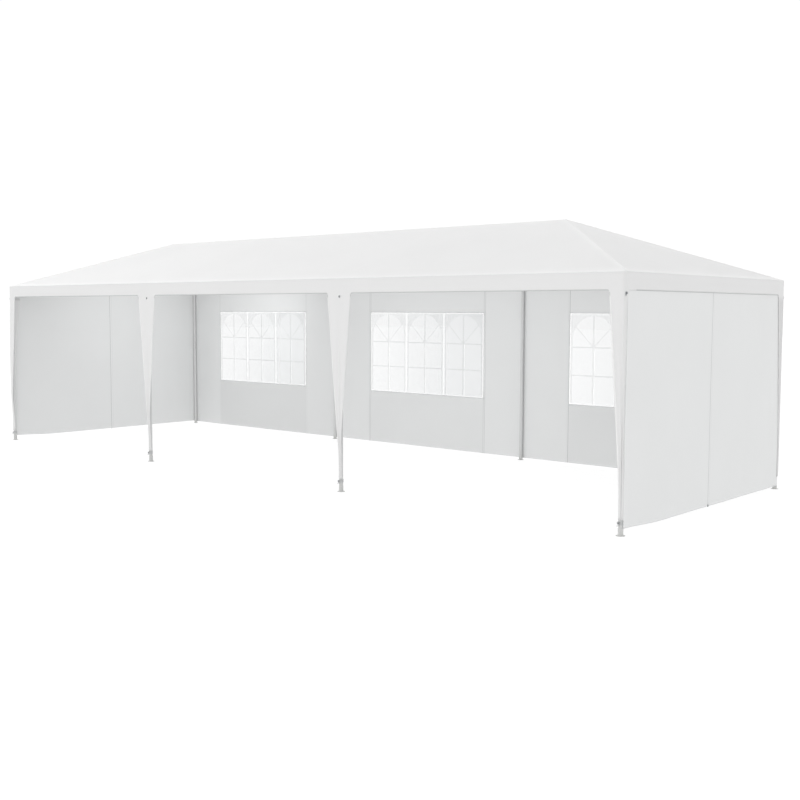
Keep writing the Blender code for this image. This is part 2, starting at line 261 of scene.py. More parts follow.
tube_lines = {"ridge_pole": (ridge_points[-1], ridge_points[1])}
for row, row_name in ((-1, "front"), (1, "back")):
    tube_lines[f"eave_rail_{row_name}"] = (corner_points[-1, row], corner_points[1, row])
    for side, side_name in ((-1, "left"), (1, "right")):
        foot = Vector((side * bay_x, -row * post_y, rail_z))
        tube_lines[f"rafter_{row_name}_{side_name}"] = (foot, Vector((side * bay_x, 0, ridge_z)))
        tube_lines[f"hip_rafter_{row_name}_{side_name}"] = (corner_points[side, row], ridge_points[side])
for side, side_name in ((-1, "left"), (1, "right")):
    tube_lines[f"eave_rail_{side_name}"] = (corner_points[side, -1], corner_points[side, 1])

for node_name, (start, end) in tube_lines.items():
    inset = (end - start).normalized() * TUBE_END_HIDDEN
    run = path_mesh(node_name + "_line", [[start + inset, end - inset]])
    tube = grow(tubing, run, {"Radius": TUBE_R, "Sides": TUBE_SIDES, "Material": steel})
    put(node_name + "_tube", smooth(tube), steel, [node_name])


# Connectors
# Short steel sleeves welded to a hub, one for every tube that meets there, coated like the tubes.
# Each is kept in its CAD shape, with its flat facets merged and its round ones shaded as one.
CONNECTOR_MERGE = 0.00002
CONNECTOR_FLAT = math.radians(1)


def rounded_copy(node_name):
    """A copy of a CAD node with its loose triangles merged, shaded round between its sharp edges."""
    bm = bmesh.new()
    bm.from_mesh(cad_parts[node_name].data)
    bmesh.ops.remove_doubles(bm, verts=bm.verts, dist=CONNECTOR_MERGE)
    bmesh.ops.dissolve_limit(bm, angle_limit=CONNECTOR_FLAT, verts=bm.verts, edges=bm.edges)
    mesh = bpy.data.meshes.new(node_name)
    bm.to_mesh(mesh)
    bm.free()
    return smooth(mesh)


for node_name in sorted(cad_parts):
    if "connector" in node_name:
        put(node_name + "_sleeves", rounded_copy(node_name), steel, [node_name])


# Legs
# Two steel tubes in line: the upper one slides into the swaged head of the lower one and is held by a
# snap button. A pressed round plate with a short socket is the foot. All of it is coated white.
LEG_SIDES = 40
LOWER_R = 0.019
UPPER_R = 0.0184
SWAGE_Z = 1.15
SWAGE_LIP = 0.0007
FOOT_R = 0.037
FOOT_THICK = 0.003
FOOT_SOCKET_R = 0.0212
FOOT_SOCKET_TOP = 0.058
FOOT_EDGE = 0.0008
# The legs' coat is greyer than the tubes' coat: painted shade, for the shade that falls on the legs
LEG_COAT_PAINTED_SHADE = ("#CFD0D0", "#C5C6C6")


def turned(profile, centre, sides):
    """A profile of radius and height points turned about the vertical, closed at its ends."""
    points = []
    faces = []
    for radius, height in profile:
        for step in range(sides):
            angle = 2 * math.pi * step / sides
            x = centre.x + radius * math.cos(angle)
            y = centre.y + radius * math.sin(angle)
            points.append((x, y, height))
    for ring in range(len(profile) - 1):
        for step in range(sides):
            here = ring * sides + step
            beside = ring * sides + (step + 1) % sides
            faces.append((here, beside, beside + sides, here + sides))
    last = (len(profile) - 1) * sides
    faces.append(tuple(reversed(range(sides))))
    faces.append(tuple(range(last, last + sides)))
    return smooth(new_mesh("turned", points, [], faces))


def leg_profile(top):
    """Half outline of a leg from the underside of its foot plate to its head."""
    return [
        (FOOT_R - FOOT_EDGE, 0.0),
        (FOOT_R, FOOT_EDGE),
        (FOOT_R, FOOT_THICK - FOOT_EDGE),
        (FOOT_R - FOOT_EDGE, FOOT_THICK),
        (FOOT_SOCKET_R + 0.006, FOOT_THICK + 0.0008),
        (FOOT_SOCKET_R + 0.002, FOOT_THICK + 0.003),
        (FOOT_SOCKET_R, 0.011),
        (FOOT_SOCKET_R, FOOT_SOCKET_TOP - FOOT_EDGE),
        (FOOT_SOCKET_R - FOOT_EDGE, FOOT_SOCKET_TOP),
        (LOWER_R, FOOT_SOCKET_TOP + 0.0002),
        (LOWER_R, SWAGE_Z - 0.034),
        (LOWER_R + SWAGE_LIP, SWAGE_Z - 0.030),
        (LOWER_R + SWAGE_LIP, SWAGE_Z - 0.0012),
        (LOWER_R, SWAGE_Z),
        (UPPER_R, SWAGE_Z + 0.0002),
        (UPPER_R, top),
    ]


# Painted shade: every leg takes this greyer coat instead of the tubes' coat
leg_steel_painted_shade = coated_steel("powder coated steel leg, greyed as painted shade", *LEG_COAT_PAINTED_SHADE)
post_places = {}
for row_name in ("front", "back"):
    for number in (1, 2, 3, 4):
        node_name = f"leg_{row_name}_{number}"
        leg_low, leg_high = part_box(node_name)
        centre = (leg_low + leg_high) / 2
        post_places[row_name, number] = Vector((centre.x, centre.y, 0))
        leg = turned(leg_profile(leg_high.z), centre, LEG_SIDES)
        put(node_name + "_tube", leg, leg_steel_painted_shade, [node_name])


# Snap buttons
# Sprung steel buttons stand out of a hole wherever one tube locks into another: at mid height on each
# leg, at the foot socket, and under the sleeves of the connectors.
BUTTON_R = 0.0044
BUTTON_RING_R = 0.0058
BUTTON_RING_WIRE = 0.0006
BUTTON_ON_LEG = SWAGE_Z - 0.016
BUTTON_ON_FOOT = 0.034
BUTTON_ON_SLEEVE = 0.098
SLEEVE_R = 0.0185


def plated_metal(name, shades, rough, cloud):
    """Thinly plated metal: a dull silver in two close shades, with a soft and cloudy shine."""
    material, tree, place = new_material(name)
    cloudy = add_node(tree, "ShaderNodeTexNoise", {"Vector": place, "Scale": cloud, "Detail": 2.0})
    tint = add_node(
        tree,
        "ShaderNodeMix",
        {"Factor": cloudy, "A": linear(shades[0]), "B": linear(shades[1])},
        data_type="RGBA",
    )
    shine = add_node(
        tree, "ShaderNodeMapRange", {"Value": cloudy, "To Min": rough[0], "To Max": rough[1]}
    )
    shader = add_node(
        tree, "ShaderNodeBsdfPrincipled", {"Base Color": tint, "Metallic": 1.0, "Roughness": shine}
    )
    return close_material(material, shader)


def ring_tree(name, rim_steps, wire_steps, domed):
    """A wire ring at every point, turned to its facing attribute, with a dome in it if asked."""
    sizes = ("Ring Radius", "Wire Radius", "Dome Radius")
    tree, given = new_tree(name, {size: "Float" for size in sizes})
    rim, wire = (
        add_node(tree, "GeometryNodeCurvePrimitiveCircle", {"Radius": given[size], "Resolution": steps})
        for size, steps in zip(sizes, (rim_steps, wire_steps))
    )
    ring = add_node(tree, "GeometryNodeCurveToMesh", {"Curve": rim, "Profile Curve": wire})
    shape = add_node(tree, "GeometryNodeJoinGeometry", {"Geometry": ring})
    if domed:
        size = {"Segments": 10, "Rings": 6, "Radius": given["Dome Radius"]}
        dome = add_node(tree, "GeometryNodeMeshUVSphere", size)
        tree.links.new(dome.outputs["Mesh"], shape.inputs["Geometry"])
    facing = add_node(
        tree, "GeometryNodeInputNamedAttribute", {"Name": "facing"}, data_type="FLOAT_VECTOR"
    )
    turn = add_node(tree, "FunctionNodeAlignRotationToVector", {"Vector": facing}, axis="Z")
    placed = add_node(
        tree,
        "GeometryNodeInstanceOnPoints",
        {"Points": given["Geometry"], "Instance": shape, "Rotation": turn},
    )
    return close_tree(tree, given, placed)


def facing_points(name, spots):
    """Loose points, each with the direction it faces."""
    mesh = new_mesh(name, [place for place, direction in spots], [], [])
    facing = mesh.attributes.new("facing", "FLOAT_VECTOR", "POINT")
    facing.data.foreach_set("vector", [part for place, direction in spots for part in direction])
    return mesh


zinc = plated_metal("zinc plated spring steel", ("#B6B8BA", "#D0D2D3"), (0.38, 0.38), 260.0)
spots = []
for (row_name, number), post in post_places.items():
    across = Vector((-1 if number > 2 else 1, 0, 0))
    for radius, height in ((LOWER_R + SWAGE_LIP, BUTTON_ON_LEG), (FOOT_SOCKET_R, BUTTON_ON_FOOT)):
        spots.append((post + across * radius + Vector((0, 0, height)), across))
for start, end in tube_lines.values():
    for here, there in ((start, end), (end, start)):
        along = (there - here).normalized()
        down = (Vector((0, 0, -1)) - along * -along.z).normalized()
        spots.append((here + along * BUTTON_ON_SLEEVE + down * SLEEVE_R, down))
buttons = grow(
    ring_tree("snap buttons", 12, 5, True),
    facing_points("button_places", spots),
    {
        "Ring Radius": BUTTON_RING_R,
        "Wire Radius": BUTTON_RING_WIRE,
        "Dome Radius": BUTTON_R,
        "Material": zinc,
    },
)
put("snap_buttons", smooth(buttons), zinc)


# Cover
# One sewn cover of woven polyethylene tape cloth, laminated white on both sides: four roof slopes that
# fold over the eaves into a straight valance, which runs on downwards in a drape at every leg.
# It is stretched over the tubes, hemmed all round, and pulled in to the front legs by ties.
CLOTH = 0.001
HEM = 0.011
HEM_STEP = 0.002
CORNER_R = 0.034
CORNER_FADE = 0.30
FOLD_R = 0.008
FOLD_STEPS = 4
CREST_SOFT = 0.020
TUBE_SHADE = 0.035
TUBE_SHADE_PEAK = 1.2
ROOF_PITCH = 0.06
ROOF_SAG = 0.008
ROOF_RIPPLE = 0.002
RIPPLES_PER_M = 1.7
EDGE_INSETS = (0.012, 0.024, 0.045)
RAFTER_ZONE = 2.4
VALANCE_STEPS = 5
VALANCE_SLACK = 0.0012
DRAPE_HALF = 0.150
DRAPE_WAIST_HALF = 0.026
DRAPE_WAIST_Z = 0.50
DRAPE_BEND = 1.04
DRAPE_END = 0.125
DRAPE_PITCH = 0.028
DRAPE_FILLET = 0.018
WRAP_START_Z = 0.60
WRAP_END_Z = 0.22
WRAP_R = 0.0212
CORNER_CUT = 0.0113
END_LEAF_SPLIT = 0.024
CORNER_SETTLE = 0.06
CORNER_BOW = 0.026
BOW_TOP = 1.80
BOW_END = 0.30
BOW_ALONG_FRONT = 0.13
BOW_ALONG_END = 0.5
PLEAT_UNDER_HEM = 0.12
PLEAT_GROWTH = 0.7
# Of the pleat's ridge and valley: how far they stand out, their middle and their width
PLEAT_WAVES = ((0.0035, 0.004, 0.007), (-0.0030, -0.009, 0.006))
# Of the slack folds: how far they stand out, their radians over half a drape, and the height of their top
DRAPE_FOLDS = (0.0016, 9.0, 1.3)
CORNER_FOLDS = (0.0022, 16.0, 2.2)
FOLD_SLANT = 2.2
END_LEAF_INSET = 0.0072
TAPE_MM = 7.0
COVER_WHITE = "#EAEAEA"
COVER_SHADE = "#E7E7E7"
COVER_HEM = "#F2F2F2"
# The seam colour is for sewn seams, and it also paints the shadow line under the valance's hem
COVER_SEAM_AND_HEM_SHADOW = "#B4B6B6"
COVER_GLOW = 0.29
LINED_GLOW = 0.15
HEM_GLOW = 0.05
EAVE_SEAM_SHARE = 0.04
HEM_SHARE = 0.3
# Share of the seam colour laid on the valance's bottom edge as a painted shadow under its hem
UNDER_HEM_SHADOW_SHARE = 0.9

cover_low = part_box("valance_front")[0]
half_x = -cover_low.x
half_y = -cover_low.y
hem_z = cover_low.z
crest_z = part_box("roof_front")[1].z
eave_z = 2.0
slope = (crest_z - eave_z) / half_y
slope_cos = 1 / math.hypot(1, slope)
tilt = math.atan(slope)
fold_centre_z = eave_z + slope * FOLD_R - FOLD_R / slope_cos


def soft_step(share):
    """Smooth climb from 0 to 1."""
    share = min(1.0, max(0.0, share))
    return share * share * (3 - 2 * share)


def woven_cloth(name, white, shade, hem, seam, glow, dull=COVER_SHADE):
    """Polyethylene tape cloth under a white laminate. Its tapes, 2.5 mm wide in fact, are drawn wider so
    that they show. It is matt, lets a little light through, buckles slightly between its seams, and is
    whiter where a hem doubles it."""
    material, tree, place = new_material(name)
    flat = add_node(tree, "ShaderNodeUVMap", uv_map="cloth")
    tapes = {
        way: add_node(
            tree,
            "ShaderNodeTexWave",
            {"Vector": flat, "Scale": math.pi / 10 / (TAPE_MM / 1000)},
            bands_direction=way,
        )
        for way in ("X", "Y")
    }
    over = add_node(tree, "ShaderNodeTexChecker", {"Vector": flat, "Scale": 1000 / TAPE_MM})
    weave = add_node(tree, "ShaderNodeMix", {"Factor": over, "A": tapes["X"], "B": tapes["Y"]})
    cloud = add_node(tree, "ShaderNodeTexNoise", {"Vector": place, "Scale": 1.6, "Detail": 4.0})
    sewn = add_node(
        tree, "ShaderNodeMix", {"Factor": cloud, "A": linear(white), "B": linear(shade)}, data_type="RGBA"
    )
    # The dull mark paints shade on the walls; the seam mark paints sewn lines, and on the cover also the
    # shadow under the valance's hem
    for mark, colour in (("dull", dull), ("hem", hem), ("seam", seam)):
        share = add_node(tree, "ShaderNodeAttribute", attribute_name=mark)
        sewn = add_node(
            tree, "ShaderNodeMix", {"Factor": share, "A": sewn, "B": linear(colour)}, data_type="RGBA"
        )
    buckle = add_node(
        tree, "ShaderNodeTexNoise", {"Vector": place, "Scale": 2.6, "Detail": 3.0, "Distortion": 0.6}
    )
    buckled = add_node(tree, "ShaderNodeBump", {"Height": buckle, "Strength": 0.30, "Distance": 0.010})
    woven = add_node(
        tree, "ShaderNodeBump", {"Height": weave, "Strength": 0.30, "Distance": 0.0003, "Normal": buckled}
    )
    front = add_node(
        tree, "ShaderNodeBsdfPrincipled", {"Base Color": sewn, "Roughness": 0.55, "Normal": woven}
    )
    through = add_node(tree, "ShaderNodeBsdfTranslucent", {"Color": sewn, "Normal": woven})
    lined = add_node(tree, "ShaderNodeAttribute", attribute_name="lined")
    single_share = add_node(
        tree, "ShaderNodeMapRange", {"Value": lined, "To Min": glow, "To Max": LINED_GLOW}
    )
    hem_share = add_node(tree, "ShaderNodeAttribute", attribute_name="hem")
    light_share = add_node(
        tree, "ShaderNodeMapRange", {"Value": hem_share, "To Min": single_share, "To Max": HEM_GLOW}
    )
    mixed = add_node(tree, "ShaderNodeMixShader", {0: light_share, 1: front, 2: through})
    return close_material(material, mixed)


def cloth_mesh(name, points, faces, marks):
    """A sheet's mesh with its marks, each a share at every point, and a UV map in metres of cloth."""
    mesh = new_mesh(name, points, [], faces)
    for mark, shares in marks.items():
        attribute = mesh.attributes.new(mark, "FLOAT", "POINT")
        attribute.data.foreach_set("value", shares)
    flat = mesh.uv_layers.new(name="cloth")
    for face in mesh.polygons:
        normal = face.normal
        for loop in face.loop_indices:
            x, y, z = mesh.vertices[mesh.loops[loop].vertex_index].co
            across, inward = (x, y) if abs(normal.y) >= abs(normal.x) else (y, x)
            down = inward / slope_cos if abs(normal.z) > 0.7 else z
            flat.data[loop].uv = (across, down)
    mesh.shade_smooth()
    return mesh


def thicken(piece, thickness=CLOTH):
    """Gives a sheet its thickness inwards."""
    modifier = piece.modifiers.new("thickness", "SOLIDIFY")
    modifier.thickness = thickness
    modifier.offset = -1
    return piece


def spread(gaps):
    """Places from 0, as the running sum of a list of gaps."""
    places = [0.0]
    for gap in gaps:
        places.append(places[-1] + gap)
    return places


# Distances out from the middle of a drape, or from the corner it is folded round, at its top
drape_places = [0.006, 0.013, 0.024, 0.034, 0.045, 0.060, 0.078, 0.097, 0.117, 0.137, 0.139, 0.150]
fillet_places = [DRAPE_HALF + DRAPE_FILLET * share for share in (0.08, 0.28, 0.58, 1.0)]
near_places = drape_places + fillet_places


def side_stations(length, inner_posts):
    """Places along one side of the cover, from its first corner up to, but not at, the next."""
    centres = [0.0] + inner_posts + [length]
    stations = {0.0}
    for centre in centres:
        stations.add(centre)
        for offset in near_places:
            stations.update((centre - offset, centre + offset))
    for start, end in zip(centres, centres[1:]):
        low = start + near_places[-1]
        high = end - near_places[-1]
        count = round((high - low) / ROOF_PITCH)
        stations.update(low + (high - low) * step / count for step in range(1, count))
    kept = sorted(round(s, 6) for s in stations if -1e-9 <= s < length - 1e-9)
    return [s for at, s in enumerate(kept) if at == 0 or s - kept[at - 1] > 1e-5]


SIDES = (
    (2 * half_x, half_y, Vector((1, 0, 0)), Vector((0, -1, 0))),
    (2 * half_y, half_x, Vector((0, 1, 0)), Vector((1, 0, 0))),
    (2 * half_x, half_y, Vector((-1, 0, 0)), Vector((0, 1, 0))),
    (2 * half_y, half_x, Vector((0, -1, 0)), Vector((-1, 0, 0))),
)
long_side = side_stations(2 * half_x, [half_x - bay_x, half_x + bay_x])
short_side = side_stations(2 * half_y, [])
columns = []
for side, (length, reach, along, outward) in enumerate(SIDES):
    for station in long_side if side % 2 == 0 else short_side:
        columns.append((side, station))
side_starts = spread([length for length, reach, along, outward in SIDES])
perimeter = side_starts[-1]
travel = [side_starts[side] + station for side, station in columns]


def ring_place(side, station, inset):
    """Place of a column along its side at an inset from the outline, counted from the side's middle."""
    length = SIDES[side][0]
    half = length / 2
    place = station - half
    if side % 2:
        return place * (half - inset) / half
    if abs(place) <= RAFTER_ZONE:
        return place
    share = (half - inset - RAFTER_ZONE) / (half - RAFTER_ZONE)
    return math.copysign(RAFTER_ZONE + (abs(place) - RAFTER_ZONE) * share, place)


def plan_point(side, place, inset, radius):
    """Plan position at a place along a side and an inset from the outline, with round corners."""
    length, reach, along, outward = SIDES[side]
    edge = length / 2 - inset
    out = reach - inset
    to_corner = edge - abs(place)
    if radius > 0 and to_corner < radius:
        angle = (1 - to_corner / radius) * math.pi / 4
        place = math.copysign(edge - radius + radius * math.sin(angle), place)
        out -= radius * (1 - math.cos(angle))
    return along * place + outward * out


def cover_plan(side, station, inset, rounded=True):
    """Plan position of one of the cover's columns at an inset from the outline."""
    radius = CORNER_R * max(0.0, 1 - inset / CORNER_FADE) if rounded else 0.0
    return plan_point(side, ring_place(side, station, inset), inset, radius)


def waver(across, along, seed):
    """An even noise round zero over two places, different for each seed."""
    return noise.noise(Vector((across, along, seed)))


def roof_height(plan):
    """Height of the cover's outer face over a place in plan, with soft crests and a slight sag."""
    from_side = half_y - abs(plan.y)
    from_end = half_x - abs(plan.x)
    inset = min(from_side, from_end)
    soft = 0.0
    for apart in (abs(from_side - from_end), 2 * abs(plan.y) if from_end > half_y else CREST_SOFT):
        if apart < CREST_SOFT:
            soft = max(soft, (CREST_SOFT - apart) ** 2 / (4 * CREST_SOFT))
    rise = math.sin(math.pi * min(1.0, inset / half_y))
    if from_side <= from_end:
        if abs(plan.x) < bay_x:
            slack = math.cos(math.pi * plan.x / (2 * bay_x))
        else:
            room = half_x - inset - bay_x
            slack = math.sin(math.pi * min(1.0, (abs(plan.x) - bay_x) / room)) * room / (2 * bay_x)
    else:
        room = 2 * (half_y - inset)
        slack = math.sin(math.pi * min(1.0, from_side - inset) / max(room, 1e-6)) * room / (2 * half_y)
    ripple = ROOF_RIPPLE * waver(plan.x * RIPPLES_PER_M, plan.y * RIPPLES_PER_M, 4)
    return eave_z + slope * (inset - soft) - rise * abs(slack) * (ROOF_SAG + ripple)


post_inset = half_y + post_places["front", 1].y


def over_tube(plan):
    """How far the cloth lies on a roof tube at a place in plan, so that no light comes through it."""
    from_side = half_y - abs(plan.y)
    from_end = half_x - abs(plan.x)
    apart = [abs(from_side - from_end) / math.sqrt(2), min(from_side, from_end) - post_inset]
    if from_side <= from_end:
        apart += [abs(abs(plan.x) - bay_x), abs(plan.y)]
    return soft_step(TUBE_SHADE_PEAK - max(0.0, min(apart)) / TUBE_SHADE)


def way_round(place, other):
    """Signed distance from one place on the closed outline to another, the short way round."""
    return (place - other + perimeter / 2) % perimeter - perimeter / 2


def drape_offset(place):
    """Index of the nearest drape's middle along the outline, and the signed distance from it."""
    gaps = [way_round(place, middle) for middle in drape_middles]
    best = min(range(len(gaps)), key=lambda at: abs(gaps[at]))
    return best, gaps[best]


# Middles of the eight drapes along the outline, from the front left corner round by the front
drape_middles = [0.0, half_x - bay_x, half_x + bay_x, side_starts[1]]
drape_middles += [side_starts[2] + place for place in (0.0, half_x - bay_x, half_x + bay_x)]
drape_middles.append(side_starts[3])
DRAPE_NAMES = ("front_1", "front_2", "front_3", "front_4", "back_4", "back_3", "back_2", "back_1")
IN_DRAPE = DRAPE_HALF + 1e-6


def leaf_is_split(name, offset):
    """True past the split of a front corner's drape, where its end leaf passes inside the end wall."""
    if name == "front_1":
        return offset < -END_LEAF_SPLIT - 1e-6
    if name == "front_4":
        return offset > END_LEAF_SPLIT + 1e-6
    return False


def valance_bottom(place):
    """Height of the valance's lower edge, which curves down into the drapes."""
    index, offset = drape_offset(place)
    if leaf_is_split(DRAPE_NAMES[index], offset):
        return hem_z
    beyond = max(0.0, abs(offset) - DRAPE_HALF)
    if beyond >= DRAPE_FILLET:
        return hem_z
    return hem_z - DRAPE_FILLET + math.sqrt(DRAPE_FILLET ** 2 - (DRAPE_FILLET - beyond) ** 2)


points = []
marks = {"hem": [], "seam": [], "lined": []}
faces = []
count = len(columns)


def add_point(point, **shares):
    """Adds a point with its shares of hem, seam and lining, and returns its index."""
    points.append(point)
    for mark, values in marks.items():
        values.append(shares.get(mark, 0.0))
    return len(points) - 1


fold_inset = FOLD_R * (1 - math.sin(tilt))
outer = EDGE_INSETS[-1]
inner = half_y - CREST_SOFT / 2
steps = round((inner - outer) / ROOF_PITCH)
roof_insets = [fold_inset, *EDGE_INSETS]
roof_insets += [outer + (inner - outer) * step / steps for step in range(1, steps)]
roof_insets += [inner, half_y - CREST_SOFT / 5, half_y]
rings = []
for inset in reversed(roof_insets):
    rings.append(len(points))
    for side, station in columns:
        sharp = cover_plan(side, station, inset, rounded=False)
        spot = cover_plan(side, station, inset)
        add_point(Vector((spot.x, spot.y, roof_height(sharp))), lined=over_tube(sharp))
for step in range(1, FOLD_STEPS + 1):
    angle = tilt + (math.pi / 2 - tilt) * step / FOLD_STEPS
    inset = FOLD_R * (1 - math.sin(angle))
    down = Vector((0, 0, fold_centre_z + FOLD_R * math.cos(angle)))
    rings.append(len(points))
    for side, station in columns:
        seam = EAVE_SEAM_SHARE if step == FOLD_STEPS else 0.0
        add_point(cover_plan(side, station, inset) + down, seam=seam, lined=1.0)


def valance_place(side, station, place, height):
    """Point of the valance: straight down from the fold, with a barely slack lower half."""
    share = (fold_centre_z - height) / (fold_centre_z - hem_z)
    slack = VALANCE_SLACK * share * (1 + waver(place * 1.9, 7, 0))
    return cover_plan(side, station, slack) + Vector((0, 0, height))


for step in range(1, VALANCE_STEPS + 3):
    rings.append(len(points))
    for (side, station), place in zip(columns, travel):
        bottom = valance_bottom(place)
        hem_top = bottom + HEM + HEM_STEP
        if step <= VALANCE_STEPS:
            height = fold_centre_z + (hem_top - fold_centre_z) * step / VALANCE_STEPS
        else:
            height = bottom + HEM * (VALANCE_STEPS + 2 - step)
        index, offset = drape_offset(place)
        in_drape = abs(offset) < DRAPE_HALF - HEM and not leaf_is_split(DRAPE_NAMES[index], offset)
        hem = HEM_SHARE if step > VALANCE_STEPS and not in_drape else 0.0
        # Painted shadow: outside the drapes, the valance's lowest ring takes the seam colour as the
        # shadow under its hem
        under = step == VALANCE_STEPS + 2 and abs(offset) > DRAPE_HALF
        seam = UNDER_HEM_SHADOW_SHARE if under else 0.0
        add_point(valance_place(side, station, place, height), hem=hem, seam=seam, lined=1.0)
for upper, lower in zip(rings, rings[1:]):
    for at in range(count):
        beside = (at + 1) % count
        faces.append((upper + at, lower + at, lower + beside, upper + beside))


def drape_half(height):
    """Half width of the cut of a drape at a height."""
    share = (height - DRAPE_WAIST_Z) / (hem_z - DRAPE_FILLET - DRAPE_WAIST_Z)
    bent = min(1.0, max(0.0, share)) ** DRAPE_BEND
    return DRAPE_WAIST_HALF + (DRAPE_HALF - DRAPE_WAIST_HALF) * bent


def drape_reach(name, height):
    """How far a drape reaches from its middle or corner at a height."""
    half = drape_half(height)
    if name[-1] in "14":
        lean = post_inset * (1 - half / DRAPE_HALF)
        return half + lean
    return half


def corner_bow(height):
    """How far the front left corner's slack cloth bows out past its leg."""
    share = min(1.0, max(0.0, (BOW_TOP - height) / (BOW_TOP - BOW_END)))
    return CORNER_BOW * math.sin(math.pi * share)


def pleat(name, offset, height, reach):
    """How far the cloth stands out of its face: a soft middle pleat, and slack folds lower down."""
    drop = soft_step((hem_z - PLEAT_UNDER_HEM - height) / PLEAT_GROWTH)
    ridge, valley = (
        out * math.exp(-((offset - middle) / width) ** 2) for out, middle, width in PLEAT_WAVES
    )
    out, turns, top = CORNER_FOLDS if name == "front_4" else DRAPE_FOLDS
    folds = out * math.sin(offset / reach * turns + height * FOLD_SLANT) * soft_step(top - height)
    return drop * (ridge + valley) + folds


def drape_point(name, offset, top_offset, height):
    """Point of a drape: flat behind its edge at the top, wrapped round a front leg lower down."""
    row_name, number = name.split("_")
    post = post_places[row_name, int(number)]
    reach = drape_reach(name, height)
    out = pleat(name, offset, height, reach)
    at_corner = number in "14"
    middle = drape_middles[DRAPE_NAMES.index(name)]
    spot_travel = (middle + offset) % perimeter
    side = max(index for index in range(4) if side_starts[index] <= spot_travel + 1e-9)
    station = spot_travel - side_starts[side]
    flat = cover_plan(side, station, -out)
    if row_name == "front" and at_corner:
        lateral = offset if number == "4" else -offset
        settle = soft_step((hem_z - DRAPE_FILLET - height) / CORNER_SETTLE)
        if leaf_is_split(name, top_offset):
            settle = 1.0
        if lateral > -CORNER_R:
            share = soft_step((lateral + CORNER_R) / (CORNER_R + END_LEAF_SPLIT))
            flat.x -= math.copysign(END_LEAF_INSET * share * settle, flat.x)
        if name == "front_1":
            near = soft_step(1 - max(offset / BOW_ALONG_FRONT, -offset / BOW_ALONG_END))
            flat.x -= corner_bow(height) * near
    wrap = 0.0
    if row_name == "front":
        wrap = soft_step((WRAP_START_Z - height) / (WRAP_START_Z - WRAP_END_Z))
    if wrap == 0.0:
        return Vector((flat.x, flat.y, height))
    if at_corner:
        before, after = ((-1, 0), (0, -1)) if number == "1" else ((0, -1), (1, 0))
        arc = offset * (reach - CORNER_CUT) / reach
        angle = math.pi / 4 + arc / WRAP_R
        radial = Vector((*before, 0)) * math.cos(angle) + Vector((*after, 0)) * math.sin(angle)
    else:
        angle = offset / WRAP_R
        radial = Vector((math.sin(angle), -math.cos(angle), 0))
    held = post + radial * (WRAP_R + out)
    spot = flat.lerp(held, wrap)
    return Vector((spot.x, spot.y, height))


drape_rows = round((hem_z - DRAPE_FILLET - DRAPE_END) / DRAPE_PITCH)
drape_top = hem_z - DRAPE_FILLET
drape_edges = {}
for index, name in enumerate(DRAPE_NAMES):
    members = []
    for at, place in enumerate(travel):
        nearest, offset = drape_offset(place)
        if nearest == index and abs(offset) <= IN_DRAPE:
            members.append((offset, at))
    members.sort()
    above = []
    for offset, at in members:
        if leaf_is_split(name, offset):
            spot = drape_point(name, offset, offset, drape_top)
            above.append(add_point(spot, lined=1.0))
        else:
            above.append(rings[-1] + at)
    edge_lines = [[], []]
    for row in range(1, drape_rows + 1):
        height = drape_top + (DRAPE_END - drape_top) * row / drape_rows
        reach = drape_reach(name, height)
        below = []
        for offset, at in members:
            inner_top = DRAPE_HALF - HEM - HEM_STEP
            if abs(offset) <= inner_top + 1e-9:
                moved = offset * (reach - HEM - HEM_STEP) / inner_top
            else:
                moved = math.copysign(reach - (DRAPE_HALF - abs(offset)), offset)
            at_edge = abs(offset) >= DRAPE_HALF - HEM - 1e-6
            hem = HEM_SHARE if at_edge or row == drape_rows else 0.0
            lined = 1.0 if name.startswith("front") else 0.0
            below.append(add_point(drape_point(name, moved, offset, height), hem=hem, lined=lined))
            if abs(abs(offset) - (DRAPE_HALF - HEM)) < 1e-6:
                edge_lines[0 if offset < 0 else 1].append(len(points) - 1)
        for step in range(len(members) - 1):
            faces.append((above[step], below[step], below[step + 1], above[step + 1]))
        above = below
    drape_edges[name] = edge_lines


# Lines sewn on the cover: its hem, the edges of its drapes, the eave seam and both sides of each hip
hem_ring = rings[-2]
hem_run = []
cover_threads = []
for at, place in enumerate(travel + travel[:1]):
    nearest, offset = drape_offset(place)
    if abs(offset) >= DRAPE_HALF - HEM - 1e-6 or leaf_is_split(DRAPE_NAMES[nearest], offset):
        hem_run.append(points[hem_ring + at % count])
    elif hem_run:
        cover_threads.append(hem_run)
        hem_run = []
cover_threads.append(hem_run)
cover_threads += [[points[at] for at in line] for edges in drape_edges.values() for line in edges if line]
eave_ring = rings[len(roof_insets) + FOLD_STEPS - 1]
cover_threads.append([points[eave_ring + at % count] for at in range(count + 1)])
for at, place in enumerate(travel):
    corner_gap = min(abs(way_round(place, start)) for start in side_starts[:4])
    if abs(corner_gap - drape_places[1]) < 1e-5:
        cover_threads.append([points[ring + at] for ring in rings[:len(roof_insets)]])


def weld(points, faces, marks, distance=1e-5):
    """Merges points that coincide, as along the ridge, and drops faces left with under three."""
    seen = {}
    kept = []
    new_index = []
    new_marks = {mark: [] for mark in marks}
    for at, point in enumerate(points):
        key = tuple(round(part / distance) for part in point)
        if key not in seen:
            seen[key] = len(kept)
            kept.append(point)
            for mark in marks:
                new_marks[mark].append(marks[mark][at])
        new_index.append(seen[key])
    new_faces = []
    for face in faces:
        corners = []
        for corner in face:
            if new_index[corner] not in corners:
                corners.append(new_index[corner])
        if len(corners) > 2:
            new_faces.append(tuple(corners))
    return kept, new_faces, new_marks


